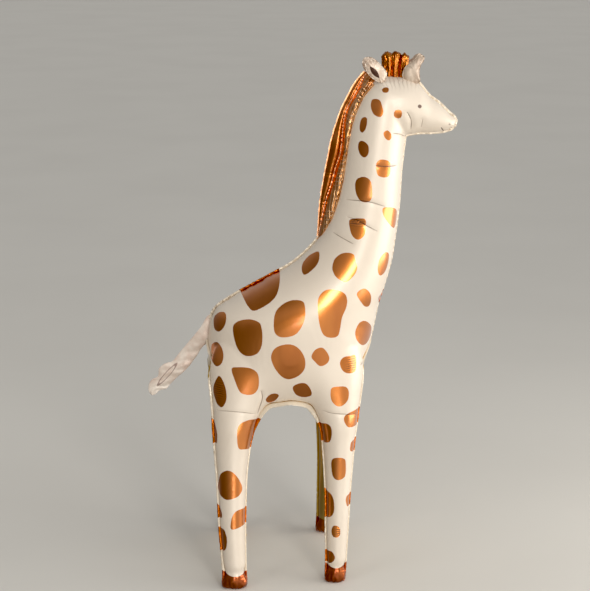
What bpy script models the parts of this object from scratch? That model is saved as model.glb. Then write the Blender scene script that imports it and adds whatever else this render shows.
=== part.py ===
"""A free-standing inflated foil balloon in the shape of a giraffe, about a metre tall.

The body is one sealed envelope: trunk, neck, head and four legs. Its sections are measured from edge
to edge of the side panel, so the outline of the panel is the outline of the solid. The mane, forelock,
ears, horns and tail are small foil pieces of their own, welded to the envelope's seam.
+X points towards the nose, +Z is up, and the giraffe's left side is +Y.
"""

import bmesh
import bpy
import numpy as np
from mathutils import Matrix

# Driving dimensions, in metres.
HEIGHT = 1.02           # floor to the top of the forelock
FRONT_STANCE = 0.256    # between the middles of the two front feet
HIND_STANCE = 0.292     # between the middles of the two hind feet
HIP_SPACING = 0.124     # between the middles of a pair of legs at the hip
HIP_SHARE = 0.392       # height of the hip, as a share of HEIGHT
MANE_THICKNESS = 0.044  # across the puffed root of the mane
FLUTE_THICKNESS = 0.020  # across one flute of the forelock
EAR_THICKNESS = 0.0050
HORN_THICKNESS = 0.0080
TAIL_THICKNESS = 0.0040
EAR_CLEARANCE = 0.0035  # between the puffed side of the mane and an ear
HORN_CLEARANCE = 0.001  # between the side of the forelock and a horn
WELD_GAP = 0.0006       # kept between the envelope and a piece that is welded to it

# The free form is written in thousandths of the height.
SHARE = HEIGHT / 1000

# How finely the lofts are drawn.
ROWS_PER_STATION = 2
TRUNK_SIDES = 28
HEAD_SIDES = 24
LEG_SIDES = 16
MANE_SIDES = 14

# Trunk and neck, from the belly up: back edge x, z, front edge x, z, half width.
TRUNK = (
    (-112, 345, 127, 345, 76),
    (-134, 355, 147, 354, 92),
    (-140, 388, 156, 382, 104),
    (-142, 434, 164, 417, 110),
    (-139, 480, 173, 456, 111),
    (-128, 512, 180, 490, 108),
    (-98, 535, 186, 520, 104),
    (-59, 557, 193, 542, 98),
    (-20, 578, 200, 566, 90),
    (18, 599, 206, 588, 82),
    (49, 625, 211, 610, 75),
    (73, 653, 215, 639, 69),
    (89, 686, 220, 678, 63),
    (102, 725, 224, 721, 59),
    (111, 765, 226, 765, 57),
    (117, 804, 229, 804, 56),
    (123, 843, 232, 841, 54),
    (132, 882, 235, 877, 51),
    (147, 917, 235, 912, 45),
    (169, 947, 227, 943, 29),
)

# Head, from the nape to the nose: top edge x, z, bottom edge x, z, half width.
HEAD = (
    (157, 926, 162, 873, 33),
    (181, 953, 188, 851, 44),
    (209, 955, 218, 843, 45),
    (235, 952, 245, 846, 41),
    (257, 941, 260, 848, 36),
    (275, 919, 277, 848, 30),
    (295, 904, 296, 849, 25),
    (314, 886, 313, 852, 19),
    (324, 878, 323, 857, 12),
    (329, 871, 328, 866, 4),
)

# Legs, from the hip down: z, rear edge x, front edge x, half width.
HIND_LEG = (
    (482, -98, -56, 16),
    (456, -124, -36, 34),
    (426, -136, -25, 44),
    (390, -139, -20, 47),
    (363, -137, -18, 46),
    (345, -136, -30, 44),
    (328, -134, -43, 41),
    (300, -133, -55, 36),
    (272, -131, -63, 32),
    (243, -129, -68, 29),
    (196, -126, -73, 26),
    (112, -123, -76, 23),
    (34, -117, -76, 20),
    (8, -118, -75, 16),
    (0, -115, -79, 11),
)
FRONT_LEG = (
    (482, 82, 126, 16),
    (456, 60, 144, 33),
    (424, 46, 152, 43),
    (386, 40, 152, 46),
    (358, 42, 149, 44),
    (343, 50, 147, 42),
    (324, 61, 143, 38),
    (307, 68, 141, 35),
    (277, 74, 136, 30),
    (239, 77, 132, 27),
    (200, 79, 128, 24),
    (162, 80, 125, 22),
    (104, 80, 121, 20),
    (45, 80, 117, 18),
    (8, 79, 114, 15),
    (0, 82, 111, 10),
)

# Mane, from its foot to its tip: outer edge x, z, root x, z inside the neck, share of its thickness.
MANE = (
    (67, 645, 80, 652, 30),
    (68, 662, 98, 668, 72),
    (69, 681, 112, 687, 94),
    (72, 722, 128, 727, 100),
    (80, 771, 134, 771, 100),
    (86, 803, 138, 803, 100),
    (94, 842, 143, 838, 100),
    (109, 889, 152, 876, 100),
    (122, 917, 166, 900, 95),
    (137, 944, 181, 922, 80),
    (154, 964, 190, 941, 40),
)

# Flutes of the forelock: root x, crest x, crest z, half width at the crest.
FLUTES = (
    (203, 196, 1000, 9),
    (212, 214, 999, 11),
    (221, 232, 997, 9),
)
FLUTE_ROOT_Z = 945

# Flat outlines, as x, z.
EAR = ((194, 962), (186, 974), (177, 983), (168, 987), (159, 986), (154, 980), (154, 972), (159, 961),
       (168, 952), (178, 946), (190, 945))
HORN = ((224, 955), (227, 969), (236, 979), (245, 985), (252, 992), (260, 994), (265, 990), (263, 982),
        (258, 974), (256, 962), (257, 945), (244, 938), (230, 943))
TAIL = ((-128, 497), (-141, 499), (-157, 474), (-176, 451), (-196, 429), (-215, 409), (-229, 400),
        (-239, 389), (-252, 372), (-259, 356), (-254, 347), (-239, 353), (-229, 355), (-219, 363),
        (-204, 378), (-185, 395), (-166, 419), (-151, 441), (-128, 452))


def clear_scene():
    for obj in list(bpy.data.objects):
        bpy.data.objects.remove(obj, do_unlink=True)
    for collection in list(bpy.data.collections):
        bpy.data.collections.remove(collection)


def new_collection(name):
    collection = bpy.data.collections.new(name)
    bpy.context.scene.collection.children.link(collection)
    return collection


def foil(name, colour, roughness, metallic):
    """One printed metallised film."""
    material = bpy.data.materials.new(name)
    material.use_nodes = True
    shader = material.node_tree.nodes["Principled BSDF"]
    shader.inputs["Base Color"].default_value = (*colour, 1.0)
    shader.inputs["Roughness"].default_value = roughness
    shader.inputs["Metallic"].default_value = metallic
    return material


def smooth_rows(stations, rows_per_station):
    """The stations with rows added between them, on a Catmull-Rom spline through them."""
    points = np.array(stations, float) * SHARE
    padded = np.vstack([2 * points[0] - points[1], points, 2 * points[-1] - points[-2]])
    rows = []
    for start in range(len(points) - 1):
        p0, p1, p2, p3 = padded[start:start + 4]
        for t in np.arange(rows_per_station) / rows_per_station:
            rows.append(p1 + 0.5 * t * (p2 - p0 + t * (2 * p0 - 5 * p1 + 4 * p2 - p3
                                                       + t * (3 * (p1 - p2) + p3 - p0))))
    rows.append(points[-1])
    return np.array(rows)


def loft(name, centres, reaches, half_widths, sides, collection, grow=0.0):
    """A closed skin over elliptical sections.

    Each section lies about its centre. One half axis is its reach, a vector in the XZ plane, and the
    other is its half width along Y. Both are made longer by grow.
    """
    reaches = reaches * (1 + grow / np.linalg.norm(reaches, axis=1, keepdims=True))
    half_widths = half_widths + grow
    angles = np.arange(sides) * 2 * np.pi / sides
    rings = (centres[:, None] + reaches[:, None] * np.cos(angles)[None, :, None])
    rings[:, :, 1] += half_widths[:, None] * np.sin(angles)[None]
    count = len(rings)
    row, side = np.meshgrid(np.arange(count - 1), np.arange(sides), indexing="ij")
    after = (side + 1) % sides
    quads = np.stack([row * sides + side, row * sides + after,
                      (row + 1) * sides + after, (row + 1) * sides + side], axis=-1)
    faces = quads.reshape(-1, 4).tolist()
    faces.append(list(range(sides))[::-1])
    faces.append(list(range((count - 1) * sides, count * sides)))
    mesh = bpy.data.meshes.new(name)
    mesh.from_pydata(rings.reshape(-1, 3).tolist(), [], faces)
    shape = bmesh.new()
    shape.from_mesh(mesh)
    bmesh.ops.recalc_face_normals(shape, faces=shape.faces)
    shape.to_mesh(mesh)
    shape.free()
    obj = bpy.data.objects.new(name, mesh)
    collection.objects.link(obj)
    return obj


def loft_between_edges(name, stations, sides, collection, grow):
    """A loft whose sections run from one edge of the side panel to the other."""
    rows = smooth_rows(stations, ROWS_PER_STATION)
    first = np.stack([rows[:, 0], 0 * rows[:, 0], rows[:, 1]], axis=1)
    second = np.stack([rows[:, 2], 0 * rows[:, 0], rows[:, 3]], axis=1)
    return loft(name, (first + second) / 2, (second - first) / 2, rows[:, 4], sides, collection, grow)


def leg(name, stations, stance, side, collection, grow):
    """One leg. It leans outwards in a straight line from the hip to its own foot."""
    rows = smooth_rows(stations, ROWS_PER_STATION)
    z, rear, front, half_width = rows.T
    lean = (stance - HIP_SPACING) / 2 * (1 - z / (HIP_SHARE * HEIGHT))
    centres = np.stack([(rear + front) / 2, side * (HIP_SPACING / 2 + lean), z], axis=1)
    reaches = np.stack([(front - rear) / 2, 0 * z, 0 * z], axis=1)
    return loft(name, centres, reaches, half_width, LEG_SIDES, collection, grow)


def evaluated_mesh(obj):
    """The mesh of an object with its modifiers, welded."""
    graph = bpy.context.evaluated_depsgraph_get()
    mesh = bpy.data.meshes.new_from_object(obj.evaluated_get(graph))
    shape = bmesh.new()
    shape.from_mesh(mesh)
    bmesh.ops.remove_doubles(shape, verts=shape.verts, dist=1e-5)
    bmesh.ops.dissolve_degenerate(shape, edges=shape.edges, dist=1e-5)
    shape.to_mesh(mesh)
    shape.free()
    return mesh


def boolean(obj, other, operation):
    modifier = obj.modifiers.new(operation.title(), "BOOLEAN")
    modifier.operation = operation
    modifier.solver = "EXACT"
    modifier.object = other


def settle(obj):
    """Puts the result of the modifiers in the object's own mesh."""
    mesh = evaluated_mesh(obj)
    obj.modifiers.clear()
    obj.data = mesh


def united(name, pieces, material, collection):
    """One body made of overlapping ones."""
    first, *others = pieces
    for other in others:
        boolean(first, other, "UNION")
    settle(first)
    for other in others:
        bpy.data.objects.remove(other, do_unlink=True)
    return finished(first, name, material, collection)


def finished(obj, name, material, collection):
    """The object under its own name, in the collection of sub-parts, with its film."""
    obj.name = name
    obj.data.name = name
    obj.data.materials.clear()
    obj.data.materials.append(material)
    obj.data.shade_smooth()
    obj.data.set_sharp_from_angle(angle=np.radians(50))
    for holder in list(obj.users_collection):
        holder.objects.unlink(obj)
    collection.objects.link(obj)
    return obj


def envelope(name, grow, material, collection, scraps):
    """Trunk, head and legs as one body, with every section made larger by grow."""
    pieces = [
        loft_between_edges("trunk", TRUNK, TRUNK_SIDES, scraps, grow),
        loft_between_edges("head", HEAD, HEAD_SIDES, scraps, grow),
    ]
    for side in (-1, 1):
        pieces.append(leg("hind_leg", HIND_LEG, HIND_STANCE, side, scraps, grow))
        pieces.append(leg("front_leg", FRONT_LEG, FRONT_STANCE, side, scraps, grow))
    return united(name, pieces, material, collection)


def trimmed(obj, cutter, name, material, collection):
    """The piece without what the envelope takes up, and only its largest body."""
    boolean(obj, cutter, "DIFFERENCE")
    settle(obj)
    keep_largest(obj.data)
    return finished(obj, name, material, collection)


def keep_largest(mesh):
    """Drops all but the largest loose body of a mesh."""
    shape = bmesh.new()
    shape.from_mesh(mesh)
    left = set(shape.verts)
    bodies = []
    while left:
        body = {left.pop()}
        edge = list(body)
        while edge:
            near = {other for vert in edge for link in vert.link_edges for other in link.verts}
            edge = list(near - body)
            body |= near
        left -= body
        bodies.append(body)
    bodies.sort(key=len)
    loose = [vert for body in bodies[:-1] for vert in body]
    bmesh.ops.delete(shape, geom=loose, context="VERTS")
    shape.to_mesh(mesh)
    shape.free()


def mane(material, cutter, parts, scraps):
    """A puffed fin along the back seam of the neck."""
    rows = smooth_rows(MANE, ROWS_PER_STATION)
    outer = np.stack([rows[:, 0], 0 * rows[:, 0], rows[:, 1]], axis=1)
    root = np.stack([rows[:, 2], 0 * rows[:, 0], rows[:, 3]], axis=1)
    half_widths = MANE_THICKNESS / 2 * rows[:, 4] / (100 * SHARE)
    fin = loft("fin", (outer + root) / 2, (root - outer) / 2, half_widths, MANE_SIDES, scraps)
    return trimmed(fin, cutter, "mane", material, parts)


def forelock(material, cutter, parts, scraps):
    """Three upright flutes side by side."""
    flutes = []
    for root_x, crest_x, crest_z, half_width in FLUTES:
        rise = np.sin(np.linspace(0, 1, 8) * np.pi / 2)
        swell = np.sqrt(1 - 0.98 * rise ** 16)
        x = root_x + (crest_x - root_x) * rise
        z = FLUTE_ROOT_Z + (crest_z - FLUTE_ROOT_Z) * rise
        centres = np.stack([x, 0 * x, z], axis=1) * SHARE
        reach = half_width * (0.55 + 0.45 * rise) * swell * SHARE
        reaches = np.stack([reach, 0 * reach, 0 * reach], axis=1)
        flutes.append(loft("flute", centres, reaches, FLUTE_THICKNESS / 2 * swell, 10, scraps))
    tuft = united("tuft", flutes, material, scraps)
    return trimmed(tuft, cutter, "forelock", material, parts)


def flat_piece(name, outline, thickness, side_y, cutter, material, parts, scraps):
    """A flat foil piece cut to a smooth outline, in a plane of constant Y."""
    curve = bpy.data.curves.new(name, "CURVE")
    curve.dimensions = "2D"
    curve.fill_mode = "BOTH"
    curve.extrude = thickness / 2
    curve.resolution_u = 3
    spline = curve.splines.new("BEZIER")
    spline.bezier_points.add(len(outline) - 1)
    spline.use_cyclic_u = True
    for point, (x, z) in zip(spline.bezier_points, outline):
        point.co = (x * SHARE, z * SHARE, 0)
        point.handle_left_type = "AUTO"
        point.handle_right_type = "AUTO"
    drawn = bpy.data.objects.new(name, curve)
    scraps.objects.link(drawn)
    drawn.matrix_world = Matrix.Translation((0, side_y, 0)) @ Matrix.Rotation(np.pi / 2, 4, "X")
    bpy.context.view_layer.update()
    mesh = evaluated_mesh(drawn)
    mesh.transform(drawn.matrix_world)
    bpy.data.objects.remove(drawn, do_unlink=True)
    cut = bpy.data.objects.new(name, mesh)
    scraps.objects.link(cut)
    return trimmed(cut, cutter, name, material, parts)


def stand_at_origin(objects, collection):
    """Hangs all pieces on one empty, so that the origin is under the middle of the whole."""
    corners = np.array([tuple(vert.co) for obj in objects for vert in obj.data.vertices])
    middle = (corners.min(axis=0) + corners.max(axis=0)) / 2
    root = bpy.data.objects.new("giraffe", None)
    collection.objects.link(root)
    root.location = (-middle[0], -middle[1], -corners[:, 2].min())
    for obj in objects:
        obj.parent = root


def main():
    clear_scene()
    parts = new_collection("giraffe_foil_balloon")
    cutters = new_collection("cutters")
    scraps = new_collection("scraps")

    cream = foil("cream_foil", (0.83, 0.72, 0.58), 0.28, 0.45)
    copper = foil("copper_foil", (0.62, 0.22, 0.06), 0.22, 1.0)
    tuft_copper = foil("forelock_foil", (0.66, 0.26, 0.08), 0.22, 1.0)
    ear_cream = foil("ear_foil", (0.80, 0.68, 0.54), 0.30, 0.45)
    horn_cream = foil("horn_foil", (0.82, 0.72, 0.58), 0.30, 0.45)
    tail_cream = foil("tail_foil", (0.76, 0.63, 0.52), 0.30, 0.45)

    body = envelope("body", 0.0, cream, parts, scraps)
    cutter = envelope("weld_cutter", WELD_GAP, cream, cutters, scraps)
    cutter.hide_render = True
    cutter.display_type = "WIRE"
    pieces = [body, mane(copper, cutter, parts, scraps), forelock(tuft_copper, cutter, parts, scraps)]
    ear_y = MANE_THICKNESS / 2 + EAR_CLEARANCE + EAR_THICKNESS / 2
    horn_y = FLUTE_THICKNESS / 2 + HORN_CLEARANCE + HORN_THICKNESS / 2
    for name, side in (("right", -1), ("left", 1)):
        pieces.append(flat_piece(f"ear_{name}", EAR, EAR_THICKNESS, side * ear_y,
                                 cutter, ear_cream, parts, scraps))
        pieces.append(flat_piece(f"horn_{name}", HORN, HORN_THICKNESS, side * horn_y,
                                 cutter, horn_cream, parts, scraps))
    pieces.append(flat_piece("tail", TAIL, TAIL_THICKNESS, 0.0, cutter, tail_cream, parts, scraps))
    stand_at_origin(pieces, parts)
    bpy.data.collections.remove(scraps)


main()
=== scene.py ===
# %% [markdown]
# # A giraffe made of foil film
# The real thing is a metre-high standing balloon: two printed side panels and a gold gusset, welded
# along their edges and blown up tight. Every surface is soft, shiny and slightly gathered at the welds.
# The CAD model gives the true outline in plain solids, and this lesson dresses it: it works out denser
# skins with numpy, presses seams and creases into them, and prints the spots on with node materials.

import bpy
import numpy as np
from mathutils import Matrix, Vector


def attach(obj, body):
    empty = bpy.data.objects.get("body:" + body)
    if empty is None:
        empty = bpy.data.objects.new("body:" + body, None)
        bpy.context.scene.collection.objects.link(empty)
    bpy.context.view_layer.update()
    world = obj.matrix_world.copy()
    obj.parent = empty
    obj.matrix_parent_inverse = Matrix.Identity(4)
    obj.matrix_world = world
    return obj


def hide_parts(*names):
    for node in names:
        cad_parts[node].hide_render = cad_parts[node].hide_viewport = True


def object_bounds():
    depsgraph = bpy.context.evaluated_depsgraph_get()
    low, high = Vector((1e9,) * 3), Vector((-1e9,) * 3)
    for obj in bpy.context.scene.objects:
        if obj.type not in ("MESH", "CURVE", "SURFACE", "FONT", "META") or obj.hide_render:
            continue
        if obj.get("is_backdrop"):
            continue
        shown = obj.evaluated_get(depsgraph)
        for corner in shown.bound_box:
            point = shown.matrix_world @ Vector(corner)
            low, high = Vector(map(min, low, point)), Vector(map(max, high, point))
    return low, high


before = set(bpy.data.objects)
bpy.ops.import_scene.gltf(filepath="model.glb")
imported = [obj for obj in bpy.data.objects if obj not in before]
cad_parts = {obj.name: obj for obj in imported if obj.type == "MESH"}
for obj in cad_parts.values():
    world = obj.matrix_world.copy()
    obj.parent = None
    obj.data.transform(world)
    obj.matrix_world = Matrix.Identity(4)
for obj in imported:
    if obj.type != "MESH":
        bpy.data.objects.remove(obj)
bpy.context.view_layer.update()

# %% [markdown]
# ## The camera
# A camera can be placed by eye, or worked out from points whose real places are known. Here the feet,
# the nose and the forelock gave it: a long lens three metres off, a little above the giraffe's head and
# pitched down, turned three degrees round from a true side view. A long lens keeps the legs parallel.

# %% Camera
EYE = np.array([-0.1829, -3.005, 1.30])
TURN = np.radians(-3.31)
PITCH = np.radians(14.05)
FOCAL_PIXELS = 1587.4
LONG_SIDE_PIXELS = 591
SENSOR_MM = 36.0


def stand(obj, across, rise, back, place):
    """Puts an object at a place and turns its own x, y and z axes along across, rise and back."""
    axes = np.eye(4)
    axes[:3] = np.stack([across, rise, back, place], axis=1)
    obj.matrix_world = Matrix(axes.tolist())


forward = np.array([-np.sin(TURN) * np.cos(PITCH), np.cos(TURN) * np.cos(PITCH), -np.sin(PITCH)])
to_right = np.array([np.cos(TURN), np.sin(TURN), 0.0])
lens = bpy.data.cameras.new("camera")
lens.sensor_width = SENSOR_MM
lens.lens = FOCAL_PIXELS / LONG_SIDE_PIXELS * SENSOR_MM
lens.clip_start, lens.clip_end = 0.05, 100.0
camera = bpy.data.objects.new("camera", lens)
bpy.context.scene.collection.objects.link(camera)
stand(camera, to_right, np.cross(to_right, forward), -forward, EYE)
bpy.context.scene.camera = camera
print("lens", round(lens.lens, 2), "mm")

# %% [markdown]
# ## Tools for curves and skins
# Film pieces are outlines and tubes, so a few helpers do nearly all of the modelling: a spline through
# stations, a path cut into even steps, a closed skin over rings, and a search for the nearest point.
# They work on whole arrays, which is quick and keeps each formula in one place.

# %% Curves
# Tables of stations are in thousandths of the height, with x counted from MIDDLE_X behind the origin.
HEIGHT = 1.02
SHARE = HEIGHT / 1000
MIDDLE_X = 0.0357


def spline(points, per_span):
    """Points on a Catmull-Rom spline through the given ones, with per_span of them to each span.

    Between p1 and p2, for t from 0 to 1, a point is
    p1 + t/2 (p2 - p0 + t (2 p0 - 5 p1 + 4 p2 - p3 + t (3 (p1 - p2) + p3 - p0))).
    """
    p = np.asarray(points, float)
    ends = np.vstack([2 * p[0] - p[1], p, 2 * p[-1] - p[-2]])
    p0, p1, p2, p3 = (ends[k:k + len(p) - 1, None] for k in range(4))
    t = (np.arange(per_span) / per_span)[None, :, None]
    inner = p1 + t / 2 * (p2 - p0 + t * (2 * p0 - 5 * p1 + 4 * p2 - p3 + t * (3 * (p1 - p2) + p3 - p0)))
    return np.vstack([inner.reshape(-1, p.shape[1]), p[-1:]])


def even_path(points, step):
    """The same path with points a step apart, found by linear interpolation over its length."""
    points = np.asarray(points, float)
    length = np.r_[0, np.cumsum(np.linalg.norm(np.diff(points, axis=0), axis=1))]
    at = np.linspace(0, length[-1], max(2, int(round(length[-1] / step)) + 1))
    return np.stack([np.interp(at, length, column) for column in points.T], axis=1)


def unit(vectors):
    """The vectors at length 1."""
    return vectors / np.maximum(np.linalg.norm(vectors, axis=-1, keepdims=True), 1e-12)


def calmed(row, rounds, own=1):
    """A row of values or points, evened out: the inner ones become the mean of own times themselves
    and their two neighbours, and this is done rounds times."""
    row = np.array(row, float)
    for _ in range(rounds):
        row[1:-1] = (row[:-2] + own * row[1:-1] + row[2:]) / (2 + own)
    return row


def bell(distance, width, power=2):
    """1 where the distance is 0, and next to nothing past the width: exp(-(distance / width)^power)."""
    return np.exp(-(distance / width) ** power)


# %% Skins
def skin(rings):
    """Vertices, quads and end triangles of a closed skin over rings[row, side, xyz], facing outwards.

    Quads join each ring to the next, and a fan of triangles joins each end ring to its middle. The
    sum of v0 . (v1 x v2) over the triangles is six times the volume, so a negative sum turns them.
    """
    rows, sides, _ = rings.shape
    row, side = np.meshgrid(np.arange(rows - 1), np.arange(sides), indexing="ij")
    after = (side + 1) % sides
    quads = np.stack([row * sides + side, row * sides + after,
                      (row + 1) * sides + after, (row + 1) * sides + side], axis=-1).reshape(-1, 4)
    k = np.arange(sides)
    first, last, base = rows * sides, rows * sides + 1, (rows - 1) * sides
    fans = np.vstack([np.stack([np.full(sides, first), (k + 1) % sides, k], axis=-1),
                      np.stack([np.full(sides, last), base + k, base + (k + 1) % sides], axis=-1)])
    points = np.vstack([rings.reshape(-1, 3), rings[0].mean(axis=0), rings[-1].mean(axis=0)])
    corners = np.vstack([quads[:, [0, 1, 2]], quads[:, [0, 2, 3]], fans])
    a, b, c = (points[corners[:, n]] for n in range(3))
    if np.einsum("ij,ij->i", a, np.cross(b, c)).sum() < 0:
        quads, fans = quads[:, ::-1], fans[:, ::-1]
    return points, quads, fans


def joined(skins):
    """Several skins as one set of points, quads and triangles."""
    starts = np.cumsum([0] + [len(s[0]) for s in skins[:-1]])
    return (np.vstack([s[0] for s in skins]),
            np.vstack([s[1] + start for s, start in zip(skins, starts)]),
            np.vstack([s[2] + start for s, start in zip(skins, starts)]))


def new_piece(name, points, *faces):
    """A smooth-shaded object at the origin made of the points and of arrays of equal-sided faces."""
    mesh = bpy.data.meshes.new(name)
    corners = np.concatenate([f.ravel() for f in faces]).astype(np.int32)
    sizes = np.concatenate([np.full(len(f), f.shape[1]) for f in faces])
    mesh.vertices.add(len(points))
    mesh.vertices.foreach_set("co", np.ascontiguousarray(points, np.float32).ravel())
    mesh.loops.add(len(corners))
    mesh.loops.foreach_set("vertex_index", corners)
    mesh.polygons.add(len(sizes))
    mesh.polygons.foreach_set("loop_start", np.r_[0, np.cumsum(sizes)[:-1]].astype(np.int32))
    mesh.update(calc_edges=True)
    mesh.shade_smooth()
    obj = bpy.data.objects.new(name, mesh)
    bpy.context.scene.collection.objects.link(obj)
    return obj


def store(obj, name, values):
    """One number for each vertex, kept on the mesh for the material to read."""
    attribute = obj.data.attributes.new(name, "FLOAT", "POINT")
    attribute.data.foreach_set("value", np.ascontiguousarray(values, np.float32))


# %% Neighbours and noise
def nearest(points, targets, block=4000):
    """Index of, and distance to, the target nearest to each point, by |p|^2 - 2 p.q + |q|^2."""
    index = np.empty(len(points), int)
    squares = (targets ** 2).sum(axis=1)
    for start in range(0, len(points), block):
        part = slice(start, start + block)
        index[part] = (squares - 2 * points[part] @ targets.T).argmin(axis=1)
    return index, np.linalg.norm(points - targets[index], axis=1)


def ripple(t, seed, waves=5):
    """A smooth random line between about -1 and 1: sines of nearby wavelengths around 1, summed."""
    dice = np.random.default_rng(seed)
    pitch = dice.uniform(0.62, 1.55, waves)
    phase = dice.uniform(0, 2 * np.pi, waves)
    return np.sin(2 * np.pi * t[..., None] * pitch + phase).sum(axis=-1) / np.sqrt(waves)


def crumple(u, v, seed, folds=6, along=1.0, across=1.0):
    """Crushed film between about -1 and 1: triangle waves in random directions, summed.

    A triangle wave is 4 |frac(t) - 1/2| - 1. Each has flat flanks and sharp ridges, so the sum is made
    of flat facets. along and across stretch the pattern in u and v.
    """
    dice = np.random.default_rng(seed)
    height = np.zeros(np.broadcast(u, v).shape)
    for _ in range(folds):
        angle = dice.uniform(0, np.pi)
        pitch = dice.uniform(0.55, 1.5)
        bend = 0.35 * np.sin(dice.uniform(0.5, 1.2) * (u + v) + dice.uniform(0, 6.3))
        t = pitch * (np.cos(angle) * u / along + np.sin(angle) * v / across) + bend + dice.uniform()
        height += (4 * np.abs(t - np.floor(t) - 0.5) - 1) / pitch
    return height / folds ** 0.5 / 1.6


# %% [markdown]
# ## The envelope
# A cloth simulation could blow up flat panels, but then the outline is what comes out, not what was
# measured. So the trunk, head and legs are lofts through the CAD's own stations, drawn finely, fused
# into one skin with a voxel remesh, and relaxed so that no facet or voxel step is left.

# %% Stations of the envelope
# Trunk and neck: back edge x, z, front edge x, z, half width, in thousandths of the height.
TRUNK = ((-112, 345, 127, 345, 76), (-134, 355, 147, 354, 92), (-140, 388, 156, 382, 104),
         (-142, 434, 164, 417, 110), (-139, 480, 173, 456, 111), (-128, 512, 180, 490, 108),
         (-98, 535, 186, 520, 104), (-59, 557, 193, 542, 98), (-20, 578, 200, 566, 90),
         (18, 599, 206, 588, 82), (49, 625, 211, 610, 75), (73, 653, 215, 639, 69),
         (89, 686, 220, 678, 63), (102, 725, 224, 721, 59), (111, 765, 226, 765, 57),
         (117, 804, 229, 804, 56), (123, 843, 232, 841, 54), (132, 882, 235, 877, 51),
         (147, 917, 235, 912, 45), (169, 947, 227, 943, 29))
# Head: top edge x, z, bottom edge x, z, half width.
HEAD = ((157, 926, 162, 873, 33), (181, 953, 188, 851, 44), (209, 955, 218, 843, 45),
        (235, 952, 245, 846, 41), (257, 941, 260, 848, 36), (275, 919, 277, 848, 30),
        (295, 904, 296, 849, 25), (314, 886, 313, 852, 19), (324, 878, 323, 857, 12),
        (329, 871, 328, 866, 4))
# Legs: z, rear edge x, front edge x, half width.
HIND_LEG = ((482, -98, -56, 16), (456, -124, -36, 34), (426, -136, -25, 44), (390, -139, -20, 47),
            (363, -137, -18, 46), (345, -136, -30, 44), (328, -134, -43, 41), (300, -133, -55, 36),
            (272, -131, -63, 32), (243, -129, -68, 29), (196, -126, -73, 26), (112, -123, -76, 23),
            (34, -117, -76, 20), (8, -118, -75, 16), (0, -115, -79, 11))
FRONT_LEG = ((482, 82, 126, 16), (456, 60, 144, 33), (424, 46, 152, 43), (386, 40, 152, 46),
             (358, 42, 149, 44), (343, 50, 147, 42), (324, 61, 143, 38), (307, 68, 141, 35),
             (277, 74, 136, 30), (239, 77, 132, 27), (200, 79, 128, 24), (162, 80, 125, 22),
             (104, 80, 121, 20), (45, 80, 117, 18), (8, 79, 114, 15), (0, 82, 111, 10))
# Metres between the middles of two hind and two front feet, and of two legs at the hips, which lie at
# HIP_SHARE of the height.
HIND_STANCE, FRONT_STANCE, HIP_SPACING, HIP_SHARE = 0.292, 0.256, 0.124, 0.392
ROWS_PER_STATION = 8
TRUNK_SIDES, HEAD_SIDES, LEG_SIDES = 112, 80, 64
VOXEL = 0.0032


def edge_points(stations, x_column, z_column):
    """Two columns of a table of stations as points in the middle plane, in the row frame."""
    table = np.array(stations, float) * SHARE
    return np.stack([table[:, x_column] - MIDDLE_X, 0 * table[:, 0], table[:, z_column]], axis=1)


def ovals(centres, reaches, half_widths, sides):
    """Rings whose one half axis is the reach, in the XZ plane, and the other the half width, along Y."""
    turn = np.arange(sides) * 2 * np.pi / sides
    rings = centres[:, None] + reaches[:, None] * np.cos(turn)[None, :, None]
    rings[:, :, 1] += half_widths[:, None] * np.sin(turn)[None]
    return rings


def tube_between_edges(stations, sides):
    """A loft from one edge of the side panel to the other."""
    rows = spline(np.hstack([edge_points(stations, 0, 1), edge_points(stations, 2, 3),
                             np.array(stations, float)[:, 4:] * SHARE]), ROWS_PER_STATION)
    first, second = rows[:, :3], rows[:, 3:6]
    return skin(ovals((first + second) / 2, (second - first) / 2, rows[:, 6], sides))


def leg_middle(z, stance):
    """Distance of a leg's middle from the middle plane: it grows in a straight line from hip to floor."""
    return HIP_SPACING / 2 + (stance - HIP_SPACING) / 2 * (1 - z / (HIP_SHARE * HEIGHT))


def leg_tube(stations, stance, side):
    """A leg as level ovals about its leaning middle line."""
    z, rear, front, half_width = (spline(np.array(stations, float), ROWS_PER_STATION) * SHARE).T
    centres = np.stack([(rear + front) / 2 - MIDDLE_X, side * leg_middle(z, stance), z], axis=1)
    reaches = np.stack([(front - rear) / 2, 0 * z, 0 * z], axis=1)
    return skin(ovals(centres, reaches, half_width, LEG_SIDES))


shells = [tube_between_edges(TRUNK, TRUNK_SIDES), tube_between_edges(HEAD, HEAD_SIDES)]
for side in (-1, 1):
    shells.append(leg_tube(HIND_LEG, HIND_STANCE, side))
    shells.append(leg_tube(FRONT_LEG, FRONT_STANCE, side))
envelope = new_piece("envelope", *joined(shells))
fuse = envelope.modifiers.new("Fuse", "REMESH")
fuse.mode = "VOXEL"
fuse.voxel_size = VOXEL
envelope_mesh = bpy.data.meshes.new_from_object(
    envelope.evaluated_get(bpy.context.evaluated_depsgraph_get()))
envelope.modifiers.clear()
envelope.data = envelope_mesh
envelope_mesh.shade_smooth()
print("envelope", len(envelope_mesh.vertices), "points")


# %% Relaxing
RELAX_ROUNDS, RELAX_PULL, RELAX_PUSH = 24, 0.5, -0.52
HIP_ROUNDS, HIP_HEIGHT = 40, 0.355
FLANK_ROUNDS, FLANK_HEIGHT = 700, 0.415
BELLY_X, BELLY_HEIGHT, BELLY_SAG = -0.022, 0.350, 0.0045


def read(mesh, collection, field, width, kind):
    """One field of a mesh collection as an array with that many columns."""
    values = np.empty(len(getattr(mesh, collection)) * width, kind)
    getattr(mesh, collection).foreach_get(field, values)
    return values.reshape(-1, width)


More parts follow.
